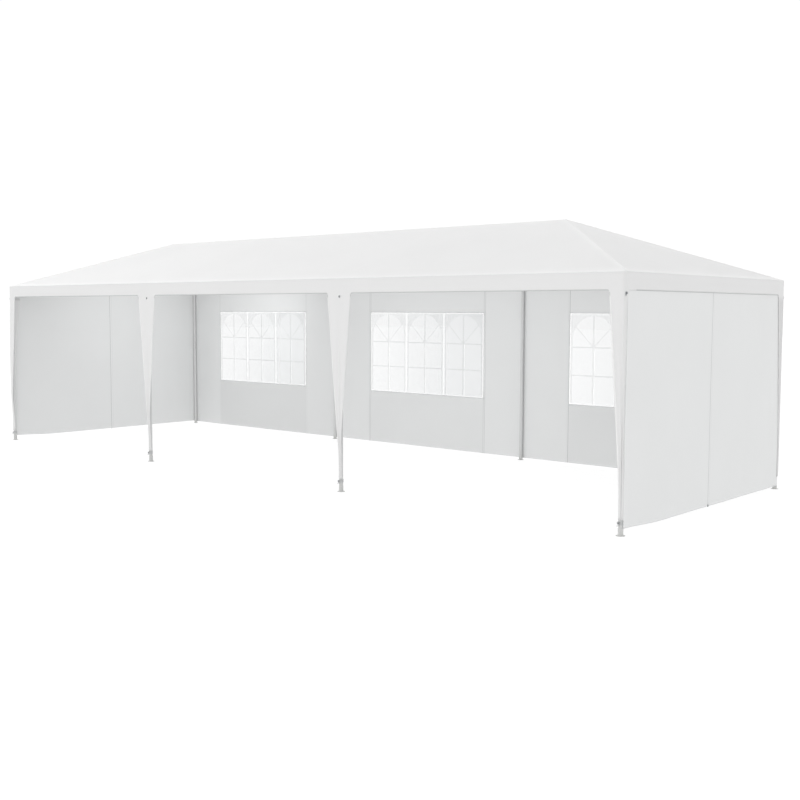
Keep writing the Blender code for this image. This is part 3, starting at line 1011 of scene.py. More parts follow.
cover_points, cover_faces, cover_marks = weld(points, faces, marks)
cover_cloth = woven_cloth(
    "white laminated tape cloth of the cover", COVER_WHITE, COVER_SHADE, COVER_HEM, COVER_SEAM_AND_HEM_SHADOW, COVER_GLOW
)
cover_mesh = cloth_mesh("cover", cover_points, cover_faces, cover_marks)
replaced = [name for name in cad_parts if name.startswith(("roof_", "valance_", "leg_drape_"))]
cover = thicken(put("cover_sheet", cover_mesh, cover_cloth, sorted(replaced)))
drape_run = hem_z - DRAPE_END
roof_run = half_y / slope_cos
cover_cut = 2 * (4 * half_x - 2 * half_y) / 2 * roof_run + 2 * half_y * roof_run
cover_cut += perimeter * (eave_z - hem_z)
cover_cut += 8 * drape_run * (DRAPE_HALF + DRAPE_WAIST_HALF)


# Back walls
# Three panels of the same tape cloth, cut to one bay each, hemmed all round and sewn up beside their
# windows. They hang from straps over the eave rail and meet at the legs, where nothing joins them.
WALL_PITCH = 0.06
WALL_WAVE = 0.007
WAVE_FROM_LEG = 0.3
WAVE_FROM_RAIL = 0.5
WAVE_FROM_WINDOW = 0.2
WALL_WRINKLE = 0.0040
WALL_HEM = 0.018
SEAM_HALF = 0.003
SEAM_STEP = 0.0015
SEAM_APART = 0.020
SEAM_BESIDE = 0.005
SEAM_WANDER = 0.003
WANDER_FADE = 0.2
FILM_LAP = 0.02
WALL_WHITE = "#E4E5E5"
WALL_SHADE = "#E0E1E1"
WALL_HEM_WHITE = "#EFF0F0"
WALL_SEAM = "#B4B6B6"
LEVEL_SEAM_SHARE = 0.4
WINDOW_SHIFT = {1: 0.015, 2: 0.035, 3: 0.020}
WALL_GLOW = 0.07
# Painted shade: the back walls are darker under their windows and towards one end of the first panel,
# where less light falls
WALL_PAINTED_SHADE = "#D3D4D4"
APRON_PAINTED_SHADE = {1: 0.50, 2: 0.16, 3: 0.34}
END_PAINTED_SHADE = {1: 0.22, 2: 0.0, 3: 0.0}
END_SHADE_REACH = 0.9
END_SHADE_FADE = 0.6
CORNER_STOPS = (0.004, 0.012, 0.022, CORNER_R)
SEAM_SHARE = {1: (0.22, 0.22), 2: (0.54, 0.54), 3: (0.85, 0.1)}
wall_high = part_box("back_wall_2")[1]
wall_inset = half_y - wall_high.y
wall_radius = CORNER_R - wall_inset


def stops(low, high, fixed, pitch):
    """Places from low to high at about a pitch, through every fixed place between them."""
    marks = sorted({low, high, *(place for place in fixed if low < place < high)})
    places = [marks[0]]
    for start, end in zip(marks, marks[1:]):
        count = max(1, round((end - start) / pitch))
        places += [start + (end - start) * step / count for step in range(1, count + 1)]
    return places


def seam_stops(lines):
    """Stops on both sides of every seam line, so that the line keeps its width."""
    edges = [way * edge for way in (-1, 1) for edge in (SEAM_HALF, SEAM_HALF + SEAM_STEP)]
    return [line + edge for line in lines for edge in edges]


wall_threads = []


def wall_sheet(
    name, side, ends, rows, upright_lines, level_lines, wave, hole=None, lift=None, apron_painted_shade=0.0, end_painted_shade=0
):
    """A wall's mesh over places along a side and heights, with hems, sewn lines, a window opening, and
    painted shade under the window and towards one end.
    """
    low, high = ends
    bottom, top = rows
    fixed, fixed_rows = (
        [start + WALL_HEM, start + WALL_HEM + SEAM_STEP, end - WALL_HEM, end - WALL_HEM - SEAM_STEP]
        for start, end in (ends, rows)
    )
    fixed += [end - math.copysign(step, end) for end in ends for step in CORNER_STOPS]
    fixed += seam_stops([line for line, share in upright_lines])
    fixed_rows += seam_stops([line for line, start, end in level_lines])
    if hole:
        fixed += hole[:2]
        fixed_rows += hole[2:]
    across = stops(low, high, fixed, WALL_PITCH)
    up = stops(bottom, top, fixed_rows, WALL_PITCH)
    points = []
    marks = {"hem": [], "seam": [], "dull": []}
    faces = []
    for height in up:
        for place in across:
            from_end = min(place - low, high - place)
            loose = soft_step(from_end / WANDER_FADE)
            moved = place + SEAM_WANDER * loose * waver(place * 0.8, height * 1.4, 3)
            raised = height
            if lift:
                raised += lift(place) * (top - height) / (top - bottom)
            inset = wall_inset - wave(place, height)
            spot = plan_point(side, moved, inset, wall_radius)
            points.append(Vector((spot.x, spot.y, raised)))
            from_edge = min(from_end, height - bottom, top - height)
            marks["hem"].append(HEM_SHARE if from_edge <= WALL_HEM + 1e-6 else 0.0)
            sewn = 0.0
            for line, share in upright_lines:
                if abs(place - line) <= SEAM_HALF + 1e-6:
                    sewn = max(sewn, share)
            for line, start, end in level_lines:
                if abs(height - line) <= SEAM_HALF + 1e-6 and start <= place <= end:
                    sewn = max(sewn, LEVEL_SEAM_SHARE)
            marks["seam"].append(sewn)
            # Painted shade: darker under the window, and darker towards the wall's low end
            in_apron = hole and height < hole[2] and hole[0] <= place <= hole[1]
            end_shade_share = end_painted_shade * soft_step((low + END_SHADE_REACH - place) / END_SHADE_FADE)
            marks["dull"].append(max(apron_painted_shade if in_apron else 0.0, end_shade_share))
    width = len(across)
    for row in range(len(up) - 1):
        for column in range(width - 1):
            if hole and hole[0] <= (across[column] + across[column + 1]) / 2 <= hole[1]:
                if hole[2] <= (up[row] + up[row + 1]) / 2 <= hole[3]:
                    continue
            here = row * width + column
            faces.append((here, here + 1, here + width + 1, here + width))
    middle = SIDES[side][3] * (-CLOTH / 2)
    for place in [low + WALL_HEM, high - WALL_HEM] + [line for line, share in upright_lines]:
        column = min(range(width), key=lambda at: abs(across[at] - place))
        wall_threads.append([points[row * width + column] + middle for row in range(len(up))])
    for height, start, end in [(bottom + WALL_HEM, low, high), (top - WALL_HEM, low, high)] + level_lines:
        row = min(range(len(up)), key=lambda at: abs(up[at] - height))
        line = [at for at in range(width) if start - SEAM_STEP <= across[at] <= end + SEAM_STEP]
        wall_threads.append([points[row * width + at] + middle for at in line])
    return cloth_mesh(name, points, faces, marks)


def beyond_box(place, height, box):
    """Distance of a place and height outside a box of places and heights."""
    sideways = max(0.0, box[0] - place, place - box[1])
    upwards = max(0.0, box[2] - height, height - box[3])
    return math.hypot(sideways, upwards)


def back_wave(opening, ends):
    """How far a back wall stands out of its plane: still by the legs, the rail and the taut window."""
    def wave(place, height):
        from_leg = min(place - ends[0], ends[1] - place)
        free = soft_step((from_leg - DRAPE_HALF) / WAVE_FROM_LEG)
        free *= soft_step((wall_high.z - height) / WAVE_FROM_RAIL)
        free *= soft_step(beyond_box(place, height, opening) / WAVE_FROM_WINDOW)
        long_wave = 0.5 + waver(place * 1.9, height * 0.7, 11)
        wrinkle = waver(place * 11.0, height * 0.9, 5)
        return -free * (WALL_WAVE * long_wave + WALL_WRINKLE * wrinkle)
    return wave


wall_cloth = woven_cloth(
    "white laminated tape cloth of the walls",
    WALL_WHITE,
    WALL_SHADE,
    WALL_HEM_WHITE,
    WALL_SEAM,
    WALL_GLOW,
    WALL_PAINTED_SHADE,
)
window_holes = {}
for number in (1, 2, 3):
    panel_low, panel_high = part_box(f"back_wall_{number}")
    film_low, film_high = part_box(f"window_{number}")
    ends = (-panel_high.x, -panel_low.x)
    shift = WINDOW_SHIFT[number]
    opening = [-film_high.x - shift + FILM_LAP, -film_low.x - shift - FILM_LAP]
    opening += [film_low.z + FILM_LAP, film_high.z - FILM_LAP]
    window_holes[number] = opening
    beside = list(zip((SEAM_BESIDE, SEAM_BESIDE + SEAM_APART), SEAM_SHARE[number]))
    upright_lines = [(opening[0] - gap, share) for gap, share in beside]
    upright_lines += [(opening[1] + gap, share) for gap, share in beside]
    level_lines = [(opening[2] - SEAM_BESIDE, opening[0], opening[1])]
    level_lines.append((opening[3] + SEAM_BESIDE, opening[0], opening[1]))
    mesh = wall_sheet(
        f"back_wall_{number}",
        2,
        ends,
        (panel_low.z, panel_high.z),
        upright_lines,
        level_lines,
        back_wave(opening, ends),
        hole=opening,
        apron_painted_shade=APRON_PAINTED_SHADE[number],
        end_painted_shade=END_PAINTED_SHADE[number],
    )
    panel = put(f"back_wall_{number}_sheet", mesh, wall_cloth, [f"back_wall_{number}"])
    thicken(panel)


# End walls
# Two cloth panels close each end of the tent. They are sewn together up the middle with a lapped seam,
# hang from the end rail, and lap outside the front corner's drape, with the hem a little above ground.
END_SEAM_PLACE = {"right": -0.035, "left": 0.010}
END_LAP = 0.014
END_LAP_RISE = 0.0009
END_SEAM_SHARES = (0.8, 0.15)
END_LIFT = 0.022
END_LIFT_REACH = 0.6
END_WAVE = 0.008
END_WAVE_FROM_LEG = 0.35
END_WAVE_FROM_RAIL = 0.6
END_WRINKLE = 0.7 * WALL_WRINKLE


def end_wave(seam, ends, front, front_end):
    """How far an end wall stands out of its plane: still by its legs and rail, and proud at the lap."""
    def wave(place, height):
        from_leg = min(place - ends[0], ends[1] - place)
        free = soft_step((from_leg - DRAPE_HALF) / END_WAVE_FROM_LEG)
        free *= soft_step((wall_high.z - height) / END_WAVE_FROM_RAIL)
        long_wave = waver(place * 1.6 + front_end, height * 0.6, 21)
        wrinkle = waver(place * 7.0, height * 0.7, front_end * 5)
        proud = END_LAP_RISE * soft_step(1 - abs(place - seam) / END_LAP)
        if front_end > 0:
            proud += corner_bow(height) * soft_step(1 - abs(place - front) / BOW_ALONG_END)
        return free * (END_WAVE * long_wave + END_WRINKLE * wrinkle) + proud
    return wave


for side, side_name, front_way in ((1, "right", -1), (3, "left", 1)):
    panel_low, panel_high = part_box(f"end_wall_{side_name}")
    front = front_way * -panel_low.y
    back = -front_way * (half_y - wall_inset)
    ends = (min(front, back), max(front, back))
    seam = -front_way * END_SEAM_PLACE[side_name]

    def front_lift(place):
        return END_LIFT * soft_step(1 - abs(place - front) / END_LIFT_REACH)

    mesh = wall_sheet(
        f"end_wall_{side_name}",
        side,
        ends,
        (panel_low.z, panel_high.z),
        list(zip((seam, seam - front_way * 2 * END_LAP), END_SEAM_SHARES)),
        [],
        end_wave(seam, ends, front, front_way),
        lift=front_lift,
    )
    panel = put(f"end_wall_{side_name}_sheet", mesh, wall_cloth, [f"end_wall_{side_name}"])
    thicken(panel)


# Windows
# Clear soft film, sewn over the inside of each opening, and printed on the inside with three arched
# lights in thin inks: white glazing bars edged in grey, a sunray head in each arch, and grey cross bars.
FILM = 0.0006
PRINT = 0.0004
PRINT_GAP = 0.00005
LIGHTS = 3
GREY_SIDE = 0.020
GREY_BAR = 0.015
GREY_MIDDLE = 0.020
WHITE_MIDDLE = 0.010
WHITE_HALF = 0.015
WHITE_EDGE = 0.012
CROSS_BARS = (0.32, 0.63)
ARCH_CENTRE = 0.71
ARCH_R = 0.262
ARCH_STEPS = 28
RAY_WIDTH = 0.009
HUB_R = 0.030
RAY_GAP = 0.004
RAY_ANGLES = (45, 135)
# Of each ink: its name, its colour, how much it covers, how clear it leaves the film, and its own glow,
# which is painted light
INKS = {
    "grey": ("grey screen ink on film", "#9EA2A5", 0.04, 0.980, 0.0),
    "white": ("white screen ink on film, with a painted glow", "#FAFAFA", 0.22, 1.0, 0.18),
    "spandrel": ("thin grey screen ink on film", "#BFC3C6", 0.02, 0.982, 0.0),
}
FILM_TINT = "#DCDEDF"
# The film's least haze is its real haze; it grows towards each window's right as painted shade
FILM_HAZE = (0.16, 0.37)
FILM_SHADE_HAZE_START = 0.25
FILM_SHADE_HAZE_POWER = 1.5
LAP_HAZE = 0.02


def clear_film():
    """Clear PVC film, not quite flat, with a soft gloss, and hazier towards one side, which paints shade
    across it.
    """
    material, tree, place = new_material("clear soft PVC film")
    buckle = add_node(tree, "ShaderNodeTexNoise", {"Vector": place, "Scale": 5.0, "Detail": 2.0})
    bump = add_node(tree, "ShaderNodeBump", {"Height": buckle, "Strength": 0.20, "Distance": 0.006})
    haze = add_node(tree, "ShaderNodeAttribute", attribute_name="haze")
    shader = add_node(
        tree,
        "ShaderNodeBsdfPrincipled",
        {"Base Color": linear(FILM_TINT), "Roughness": 0.14, "Alpha": haze, "Normal": bump},
    )
    return close_material(material, shader)


def print_ink(name, colour, cover, clearness, glow):
    """Screen ink on film: a thin, slightly patchy matt layer that dims the day behind it a little. White
    ink is given a weak glow of its own, painted light for the brightness of the lit ink."""
    material, tree, place = new_material(name)
    patchy = add_node(tree, "ShaderNodeTexNoise", {"Vector": place, "Scale": 60.0, "Detail": 2.0})
    hold = add_node(
        tree, "ShaderNodeMapRange", {"Value": patchy, "To Min": cover * 0.8, "To Max": cover * 1.2}
    )
    ink = add_node(
        tree,
        "ShaderNodeBsdfPrincipled",
        {
            "Base Color": linear(colour),
            "Roughness": 0.45,
            "Emission Color": linear("#FFFFFF"),
            "Emission Strength": glow,
        },
    )
    bare = add_node(tree, "ShaderNodeBsdfTransparent", {"Color": (clearness, clearness, clearness, 1)})
    shown = add_node(tree, "ShaderNodeMixShader", {0: hold, 1: bare, 2: ink})
    return close_material(material, shown)


def rectangle(left, right, bottom, top):
    """Outline of an upright bar."""
    return [(left, bottom), (right, bottom), (right, top), (left, top)]


def arc(radius, start, end, steps, centre):
    """Points round part of a circle, with angles in degrees."""
    turns = [math.radians(start + (end - start) * step / steps) for step in range(steps + 1)]
    return [(centre[0] + radius * math.cos(turn), centre[1] + radius * math.sin(turn)) for turn in turns]


def printed_light(width, height):
    """One arched light as outlines of each ink, from its lower left corner."""
    middle = width / 2
    side = WHITE_HALF + GREY_SIDE
    roof = height - WHITE_EDGE
    head = (middle, ARCH_CENTRE)
    springing = CROSS_BARS[1]
    half_line = GREY_BAR / 2
    grey = [rectangle(WHITE_HALF, side, WHITE_EDGE, roof)]
    grey.append(rectangle(width - side, width - WHITE_HALF, WHITE_EDGE, roof))
    for bar in CROSS_BARS:
        grey.append(rectangle(side, width - side, bar - half_line, bar + half_line))
    stretches = [
        (WHITE_EDGE, CROSS_BARS[0] - half_line),
        (CROSS_BARS[0] + half_line, springing - half_line),
        (springing + HUB_R + half_line, ARCH_CENTRE + ARCH_R),
    ]
    for low, high in stretches:
        grey.append(rectangle(middle - GREY_MIDDLE / 2, middle + GREY_MIDDLE / 2, low, high))
    grey.append(arc(HUB_R, 0, 180, 10, (middle, springing + half_line)))
    for angle in RAY_ANGLES:
        turn = math.radians(angle)
        way = Vector((math.cos(turn), math.sin(turn)))
        across = Vector((-way.y, way.x)) * RAY_WIDTH / 2
        start = Vector((middle, springing)) + way * (HUB_R + RAY_GAP)
        reach = way.y * (ARCH_CENTRE - springing)
        reach += math.sqrt(ARCH_R ** 2 - (ARCH_CENTRE - springing) ** 2 * way.x ** 2)
        end = Vector((middle, springing)) + way * reach
        ray = [start + across, start - across, end - across, end + across]
        grey.append([tuple(corner) for corner in ray])
    outer = arc(ARCH_R, 0, 180, ARCH_STEPS, head)
    white = [rectangle(0, WHITE_HALF, 0, height), rectangle(width - WHITE_HALF, width, 0, height)]
    white.append(rectangle(WHITE_HALF, width - WHITE_HALF, roof, height))
    white.append(rectangle(WHITE_HALF, width - WHITE_HALF, 0, WHITE_EDGE))
    line_side = middle + GREY_MIDDLE / 2
    for low, high in stretches[:2]:
        white.append(rectangle(line_side, line_side + WHITE_MIDDLE, low, high))
    spandrels = []
    for step in range(ARCH_STEPS):
        here = outer[step]
        there = outer[step + 1]
        spandrels.append([here, (here[0], roof), (there[0], roof), there])
    return {"grey": grey, "white": white, "spandrel": spandrels}


def print_mesh(outlines, near, far):
    """Flat shapes of ink with a trace of thickness, standing upright between two depths."""
    points = []
    faces = []
    for outline in outlines:
        area = sum(a[0] * b[1] - b[0] * a[1] for a, b in zip(outline, outline[1:] + outline[:1]))
        ring = outline if area > 0 else outline[::-1]
        first = len(points)
        size = len(ring)
        points += [(x, near, z) for x, z in ring] + [(x, far, z) for x, z in ring]
        faces.append(tuple(range(first, first + size)))
        faces.append(tuple(reversed(range(first + size, first + 2 * size))))
        for at in range(size):
            beside = (at + 1) % size
            faces.append((first + at, first + size + at, first + size + beside, first + beside))
    return new_mesh("print", points, [], faces)


def row_tree():
    """Repeats its geometry a number of times along a straight line."""
    sockets = {"Count": "Int", "Start": "Vector", "Step": "Vector"}
    tree, given = new_tree("row of like pieces", sockets)
    line = add_node(
        tree,
        "GeometryNodeMeshLine",
        {"Count": given["Count"], "Start Location": given["Start"], "Offset": given["Step"]},
    )
    placed = add_node(
        tree, "GeometryNodeInstanceOnPoints", {"Points": line, "Instance": given["Geometry"]}
    )
    return close_tree(tree, given, placed)


film_material = clear_film()
inks = {ink: print_ink(*recipe) for ink, recipe in INKS.items()}
row_of = row_tree()
for number, opening in window_holes.items():
    shift = Vector((WINDOW_SHIFT[number], 0, 0))
    film_low, film_high = (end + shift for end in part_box(f"window_{number}"))
    left = film_low.x + FILM_LAP
    sill = film_low.z + FILM_LAP
    width = film_high.x - film_low.x - 2 * FILM_LAP
    height = film_high.z - film_low.z - 2 * FILM_LAP
    right = left + width
    head = sill + height
    across, up = (
        stops(start, end, [low - SEAM_STEP, low, high, high + SEAM_STEP], WALL_PITCH)
        for start, end, low, high in (
            (film_low.x, film_high.x, left, right), (film_low.z, film_high.z, sill, head)
        )
    )
    points = [Vector((x, film_high.y, z)) for z in up for x in reversed(across)]
    span = len(across)
    faces = [
        (row * span + at, row * span + at + 1, (row + 1) * span + at + 1, (row + 1) * span + at)
        for row in range(len(up) - 1)
        for at in range(span - 1)
    ]
    haze = []
    for point in points:
        lapped = beyond_box(point.x, point.z, (left, right, sill, head)) > SEAM_STEP / 2
        # Painted shade: the haze rises towards the window's right
        share = FILM_SHADE_HAZE_START + (1 - FILM_SHADE_HAZE_START) * (point.x - left) / width
        shade_haze = soft_step(share) ** FILM_SHADE_HAZE_POWER
        haze.append(LAP_HAZE if lapped else FILM_HAZE[0] + (FILM_HAZE[1] - FILM_HAZE[0]) * shade_haze)
    mesh = cloth_mesh(f"window_{number}", points, faces, {"haze": haze})
    film = put(f"window_{number}_film", mesh, film_material, [f"window_{number}"])
    thicken(film, FILM)
    inner_face = film_high.y - FILM
    for ink, outlines in printed_light(width / LIGHTS, height).items():
        printed = grow(
            row_of,
            print_mesh(outlines, inner_face - PRINT, inner_face - PRINT_GAP),
            {
                "Count": LIGHTS,
                "Start": (left, 0, sill),
                "Step": (width / LIGHTS, 0, 0),
                "Material": inks[ink],
            },
        )
        put(f"window_{number}_{ink}_print", printed, inks[ink])


# Wall straps
# Short straps of white webbing are sewn to the top hem of each wall every half metre. They pass over the
# eave rail and close on themselves with hook and loop.
STRAP_WIDTH = 0.025
STRAP_THICK = 0.0012
STRAP_EVERY = 0.5
STRAP_R = TUBE_R + 0.0004
STRAP_DROP = 0.045
STRAP_FREE_END = 0.5
STRAP_RETURN = ((-0.55, 1.2), (0.55, 1.75))


def yarn(name, shades, strand, rough, relief=None):
    """Woven, braided or twisted polyester yarn: fine slanting strands in two close shades, which stand
    out a little if a relief is given, and hardly any gloss."""
    material, tree, place = new_material(name)
    strands = add_node(
        tree,
        "ShaderNodeTexWave",
        {"Vector": place, "Scale": math.pi / 10 / strand},
        bands_direction="DIAGONAL",
    )
    tone = add_node(
        tree,
        "ShaderNodeMix",
        {"Factor": strands, "A": linear(shades[0]), "B": linear(shades[1])},
        data_type="RGBA",
    )
    surface = {"Base Color": tone, "Roughness": rough}
    if relief:
        raised = {"Height": strands, "Strength": relief[0], "Distance": relief[1]}
        surface["Normal"] = add_node(tree, "ShaderNodeBump", raised)
    return close_material(material, add_node(tree, "ShaderNodeBsdfPrincipled", surface))


def strap_mesh(along, outward):
    """One strap round a rail at the origin: up from the wall's hem, over the tube and back down."""
    line = [(STRAP_R, -STRAP_DROP)]
    line += arc(STRAP_R, 0, 180, 12, (0, 0))
    line += [(STRAP_R * out, -STRAP_R * down) for out, down in STRAP_RETURN]
    line.append((STRAP_R * 0.9, -STRAP_DROP))
    points = []
    for out, up in line:
        for way in (-1, 1):
            points.append(outward * out + Vector((0, 0, up)) + along * (way * STRAP_WIDTH / 2))
    faces = [(at * 2, at * 2 + 1, at * 2 + 3, at * 2 + 2) for at in range(len(line) - 1)]
    return new_mesh("strap", points, [], faces)


strap_cloth = yarn("white polyester webbing", ("#CDCECE", "#DEDFDF"), 0.003, 0.8, (0.5, 0.0004))
for side, rail_name in ((1, "right"), (2, "back"), (3, "left")):
    length, reach, along, outward = SIDES[side]
    rail_low, rail_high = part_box(f"eave_rail_{rail_name}")
    run = length - 2 * STRAP_FREE_END
    count = round(run / STRAP_EVERY)
    middle = (rail_low + rail_high) / 2
    straps = grow(
        row_of,
        strap_mesh(along, outward),
        {
            "Count": count,
            "Start": middle - along * (run / 2 - run / count / 2),
            "Step": along * (run / count),
            "Material": strap_cloth,
        },
    )
    piece = put(f"wall_straps_{rail_name}", smooth(straps, 60), strap_cloth)
    thicken(piece, STRAP_THICK)


# Stitching
# Hems, seams and window edges are sewn with white polyester thread in a lock stitch. Each stitch is a
# short raised length of thread, drawn about twice as long as in fact so that it shows.
STITCH_PITCH = 0.016
STITCH_LENGTH = 0.009
THREAD_R = 0.0010
THREAD_SIDES = 5


def stitch_tree():
    """A short straight length of thread at even steps along every line."""
    sockets = {"Pitch": "Float", "Length": "Float", "Radius": "Float", "Sides": "Int"}
    tree, given = new_tree("stitches along lines", sockets)
    line = add_node(tree, "GeometryNodeMeshToCurve", {"Mesh": given["Geometry"]})
    spots = add_node(
        tree, "GeometryNodeCurveToPoints", {"Curve": line, "Length": given["Pitch"]}, mode="LENGTH"
    )
    stitch = add_node(
        tree,
        "GeometryNodeMeshCylinder",
        {"Vertices": given["Sides"], "Radius": given["Radius"], "Depth": given["Length"]},
    )
    placed = add_node(
        tree,
        "GeometryNodeInstanceOnPoints",
        {"Points": spots, "Instance": stitch, "Rotation": spots.outputs["Rotation"]},
    )
    return close_tree(tree, given, placed)


thread = yarn("white polyester sewing thread", ("#CFD0D0", "#E6E6E6"), 0.0012, 0.6)
sewing = stitch_tree()
stitch_values = {
    "Pitch": STITCH_PITCH,
    "Length": STITCH_LENGTH,
    "Radius": THREAD_R,
    "Sides": THREAD_SIDES,
    "Material": thread,
}
for piece_name, lines, slot in (
    ("cover_stitches", cover_threads, "cover_cloth"), ("wall_stitches", wall_threads, "wall_cloth")
):
    stitches = grow(sewing, path_mesh(piece_name + "_lines", lines), stitch_values)
    put(piece_name, smooth(stitches, 60), thread)


# Eyelets, ties and peg loops
# A pressed eyelet near the head of every drape takes a cord, knotted at the front ones but the left. Grey
# cord is wound round each front leg under the end of its drape, and knotted in front with two small bows.
# A cord loop for a peg is sewn to the foot of each end wall's seam.
EYELET_R = 0.0105
EYELET_WIRE = 0.0022
EYELET_Z = 1.831
EYELET_CORNER_Z = 1.838
EYELET_BESIDE = 0.008
EYELET_PROUD = 0.0004
EYELET_METAL = "#DADCDD"
EYELET_KNOT_R = 0.0030
EYELET_KNOT_APART = 0.0040
EYELET_KNOT_HALF = 0.008
EYELET_KNOT_TAIL = 0.020
EYELET_KNOT_OUT = (0.0015, 0.003)
TIE_R = 0.0017
TIE_TURNS = 2.5
TIE_START = -math.pi / 2 - 0.35
TIE_STEPS = 60
TIE_LOW = 0.088
TIE_HIGH = 0.116
CORD_SIDES = 8
KNOT_BESIDE = 0.008
# Across the leg, out from it and up
BOW_SIZE = (0.0045, -0.0015, 0.005)
TAIL_START = (0.002, -0.002)
TAIL_RUN = (0.006, -0.001, -0.030)
KNOT_SIZE = (0.0042, -0.0022, 0.004)
PEG_LOOP_SIZE = (0.007, -0.010)
PEG_LOOP_PLACE = (0.003, 0.006)
PEG_LOOP_R = 0.0016


def tie_path(post):
    """Line of a tie: its turns round the leg, rising evenly."""
    radius = WRAP_R + TIE_R * 0.9
    line = []
    for step in range(TIE_STEPS + 1):
        angle = TIE_START + 2 * math.pi * TIE_TURNS * step / TIE_STEPS
        height = TIE_LOW + (TIE_HIGH - TIE_LOW) * step / TIE_STEPS
        line.append(post + Vector((radius * math.cos(angle), radius * math.sin(angle), height)))
    return line


def knot_paths(post):
    """Lines of a tie's two small bows, its two tails and the knot over them."""
    centre = post + Vector((-KNOT_BESIDE, -WRAP_R - TIE_R * 2.4, (TIE_LOW + TIE_HIGH) / 2))
    paths = []
    for way in (-1, 1):
        bow = []
        for step in range(17):
            turn = 2 * math.pi * step / 16
            across = way * BOW_SIZE[0] * (1 - math.cos(turn))
            out = BOW_SIZE[1] * math.sin(turn / 2)
            bow.append(centre + Vector((across, out, BOW_SIZE[2] * math.sin(turn))))
        paths.append(bow)
        tail = []
        for step in range(9):
            share = step / 8
            across = way * (TAIL_START[0] + TAIL_RUN[0] * share)
            down = TAIL_RUN[2] * share * (1.0 if way < 0 else 0.8)
            tail.append(centre + Vector((across, TAIL_START[1] + TAIL_RUN[1] * share, down)))
        paths.append(tail)
    knot = []
    for step in range(25):
        turn = 2 * math.pi * 1.5 * step / 24
        out = -0.001 + KNOT_SIZE[1] * math.sin(turn)
        up = KNOT_SIZE[2] * math.sin(turn * 0.66)
        knot.append(centre + Vector((KNOT_SIZE[0] * math.cos(turn), out, up)))
    paths.append(knot)
    return paths


def corded(name, lines, radius, cord):
    """Places cord along lines as one piece."""
    run = path_mesh(name + "_lines", lines)
    mesh = grow(tubing, run, {"Radius": radius, "Sides": CORD_SIDES, "Material": cord})
    put(name, smooth(mesh, 60), cord)


pale_cord = yarn("light grey braided polyester cord", ("#B4B7B8", "#C9CBCC"), 0.0035, 0.85, (0.6, 0.0005))
dark_cord = yarn("dark grey braided polyester cord", ("#6F7274", "#8E9193"), 0.0035, 0.85, (0.6, 0.0005))
for number in (1, 2, 3, 4):
    post = post_places["front", number]
    corded(f"drape_tie_{number}", [tie_path(post)], TIE_R, pale_cord)
    corded(f"drape_tie_knot_{number}", knot_paths(post), TIE_R, dark_cord)

for side, side_name in ((1, "right"), (3, "left")):
    length, reach, along, outward = SIDES[side]
    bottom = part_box(f"end_wall_{side_name}")[0].z
    seat = outward * (reach - wall_inset + PEG_LOOP_PLACE[0])
    seat += Vector((0, END_SEAM_PLACE[side_name], bottom))
    loop = []
    for step in range(17):
        turn = 2 * math.pi * step / 16
        up = Vector((0, 0, PEG_LOOP_SIZE[1] * math.cos(turn) + PEG_LOOP_PLACE[1]))
        loop.append(seat + along * (PEG_LOOP_SIZE[0] * math.sin(turn)) + up)
    corded(f"peg_loop_{side_name}", [loop], PEG_LOOP_R, dark_cord)


nickel = plated_metal("nickel plated brass eyelet", (EYELET_METAL, EYELET_METAL), (0.28, 0.40), 300.0)
eyelet_spots = []
knot_lines = []
for (row_name, number), post in post_places.items():
    out_y = -1 if row_name == "front" else 1
    if number in (2, 3):
        facing = Vector((0, out_y, 0))
        spot = Vector((post.x + EYELET_BESIDE, out_y * (half_y + EYELET_PROUD), EYELET_Z))
    else:
        facing = Vector((math.copysign(1, post.x), out_y, 0)).normalized()
        edge = Vector((math.copysign(half_x - CORNER_R, post.x), out_y * (half_y - CORNER_R), 0))
        spot = edge + facing * (CORNER_R + EYELET_PROUD) + Vector((0, 0, EYELET_CORNER_Z))
    eyelet_spots.append((spot, facing))
    beside = Vector((-facing.y, facing.x, 0))
    # Painted shade: these knots are dark cord, and they also stand for the shade inside the eyelets'
    # holes
    knotted = row_name == "front" and number != 1
    for step in range(3 if knotted else 0):
        start = spot + facing * EYELET_KNOT_OUT[0] + beside * EYELET_KNOT_APART * (step - 1)
        tail = EYELET_KNOT_TAIL if step == 0 and number == 4 else EYELET_KNOT_HALF
        head = start + Vector((0, 0, EYELET_KNOT_HALF))
        knot_lines.append([head, start + facing * EYELET_KNOT_OUT[1], start - Vector((0, 0, tail))])
eyelets = grow(
    ring_tree("pressed eyelets", 24, 8, False),
    facing_points("eyelet_places", eyelet_spots),
    {"Ring Radius": EYELET_R, "Wire Radius": EYELET_WIRE, "Material": nickel},
)
put("drape_eyelets", smooth(eyelets, 60), nickel)
# The dark knots are real cord, and also paint the shade in the eyelets' holes
corded("eyelet_knots_with_painted_hole_shade", knot_lines, EYELET_KNOT_R, dark_cord)


# Floor and light
# A pale floor that glows as an even paper sweep does, a white room round it, and two broad soft lamps:
# one from the left for the front slope and one from behind. Two strips under the roof light the inside.
ROOM_WHITE = 1.03
FLOOR_HALF = 80.0
FLOOR_GLOW = 0.89
FLOOR_GREY = "#6A6A6A"
FLOOR_DROP = 0.0005
LAMP_SPREAD = math.radians(60)
STRIP_WIDTH = 0.3


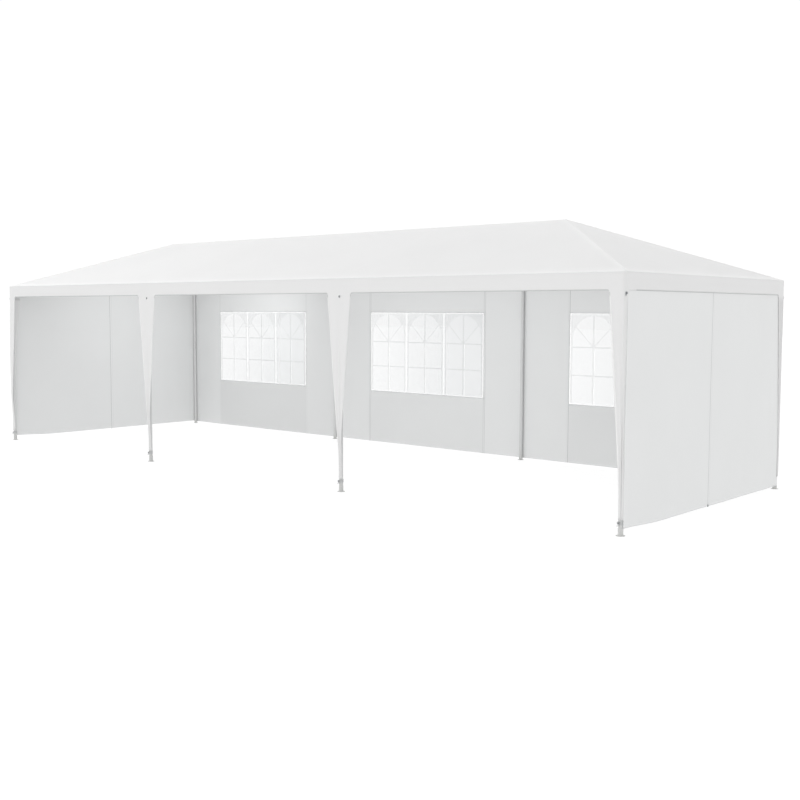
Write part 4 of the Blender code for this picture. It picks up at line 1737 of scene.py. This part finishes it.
def paper_floor():
    """Bright matt paper: it gives its own even light, and takes a trace of shade under the tent."""
    material, tree = new_material("pale paper floor")[:2]
    glow = add_node(tree, "ShaderNodeEmission", {"Color": linear("#FFFFFF"), "Strength": FLOOR_GLOW})
    matt = add_node(tree, "ShaderNodeBsdfDiffuse", {"Color": linear(FLOOR_GREY)})
    both = add_node(tree, "ShaderNodeAddShader", {0: glow, 1: matt})
    return close_material(material, both)


corners = [(x * FLOOR_HALF, y * FLOOR_HALF, 0) for x, y in ((-1, -1), (1, -1), (1, 1), (-1, 1))]
floor_mesh = new_mesh("floor", corners, [], [(0, 1, 2, 3)])
floor_mesh.materials.append(paper_floor())
floor = new_object("floor", floor_mesh)
floor.location.z = -FLOOR_DROP

world = bpy.data.worlds.new("white room")
world.use_nodes = True
world.node_tree.nodes["Background"].inputs["Color"].default_value = linear("#FFFFFF")
world.node_tree.nodes["Background"].inputs["Strength"].default_value = ROOM_WHITE
bpy.context.scene.world = world
bpy.context.scene.view_settings.view_transform = "Standard"

# Strength, and the way back to the lamp
LAMPS = {
    "soft key lamp": (1.25, Vector((-0.90, -0.02, 0.43))),
    "soft back lamp": (0.4, Vector((-0.25, 0.95, 0.20))),
}
for lamp_name, (strength, towards) in LAMPS.items():
    lamp_data = bpy.data.lights.new(lamp_name, "SUN")
    lamp_data.energy = strength
    lamp_data.angle = LAMP_SPREAD
    lamp = new_object(lamp_name, lamp_data)
    lamp.rotation_euler = towards.to_track_quat("Z", "Y").to_euler()

# Place, the way it shines, length and power
STRIPS = (
    (Vector((-2.7, 0.0, 1.95)), Vector((-1.6, 1.4, -0.75)), 1.6, 8.5),
    (Vector((1.0, -0.6, 2.03)), Vector((0, 2.1, -0.85)), 5.0, 14.0),
)
for place, towards, length, power in STRIPS:
    strip_data = bpy.data.lights.new("soft strip under the roof", "AREA")
    strip_data.shape = "RECTANGLE"
    strip_data.size = length
    strip_data.size_y = STRIP_WIDTH
    strip_data.energy = power
    strip = new_object("soft strip under the roof", strip_data)
    strip.location = place
    strip.rotation_euler = (-towards).to_track_quat("Z", "Y").to_euler()
    strip.visible_camera = False
    strip.visible_glossy = False
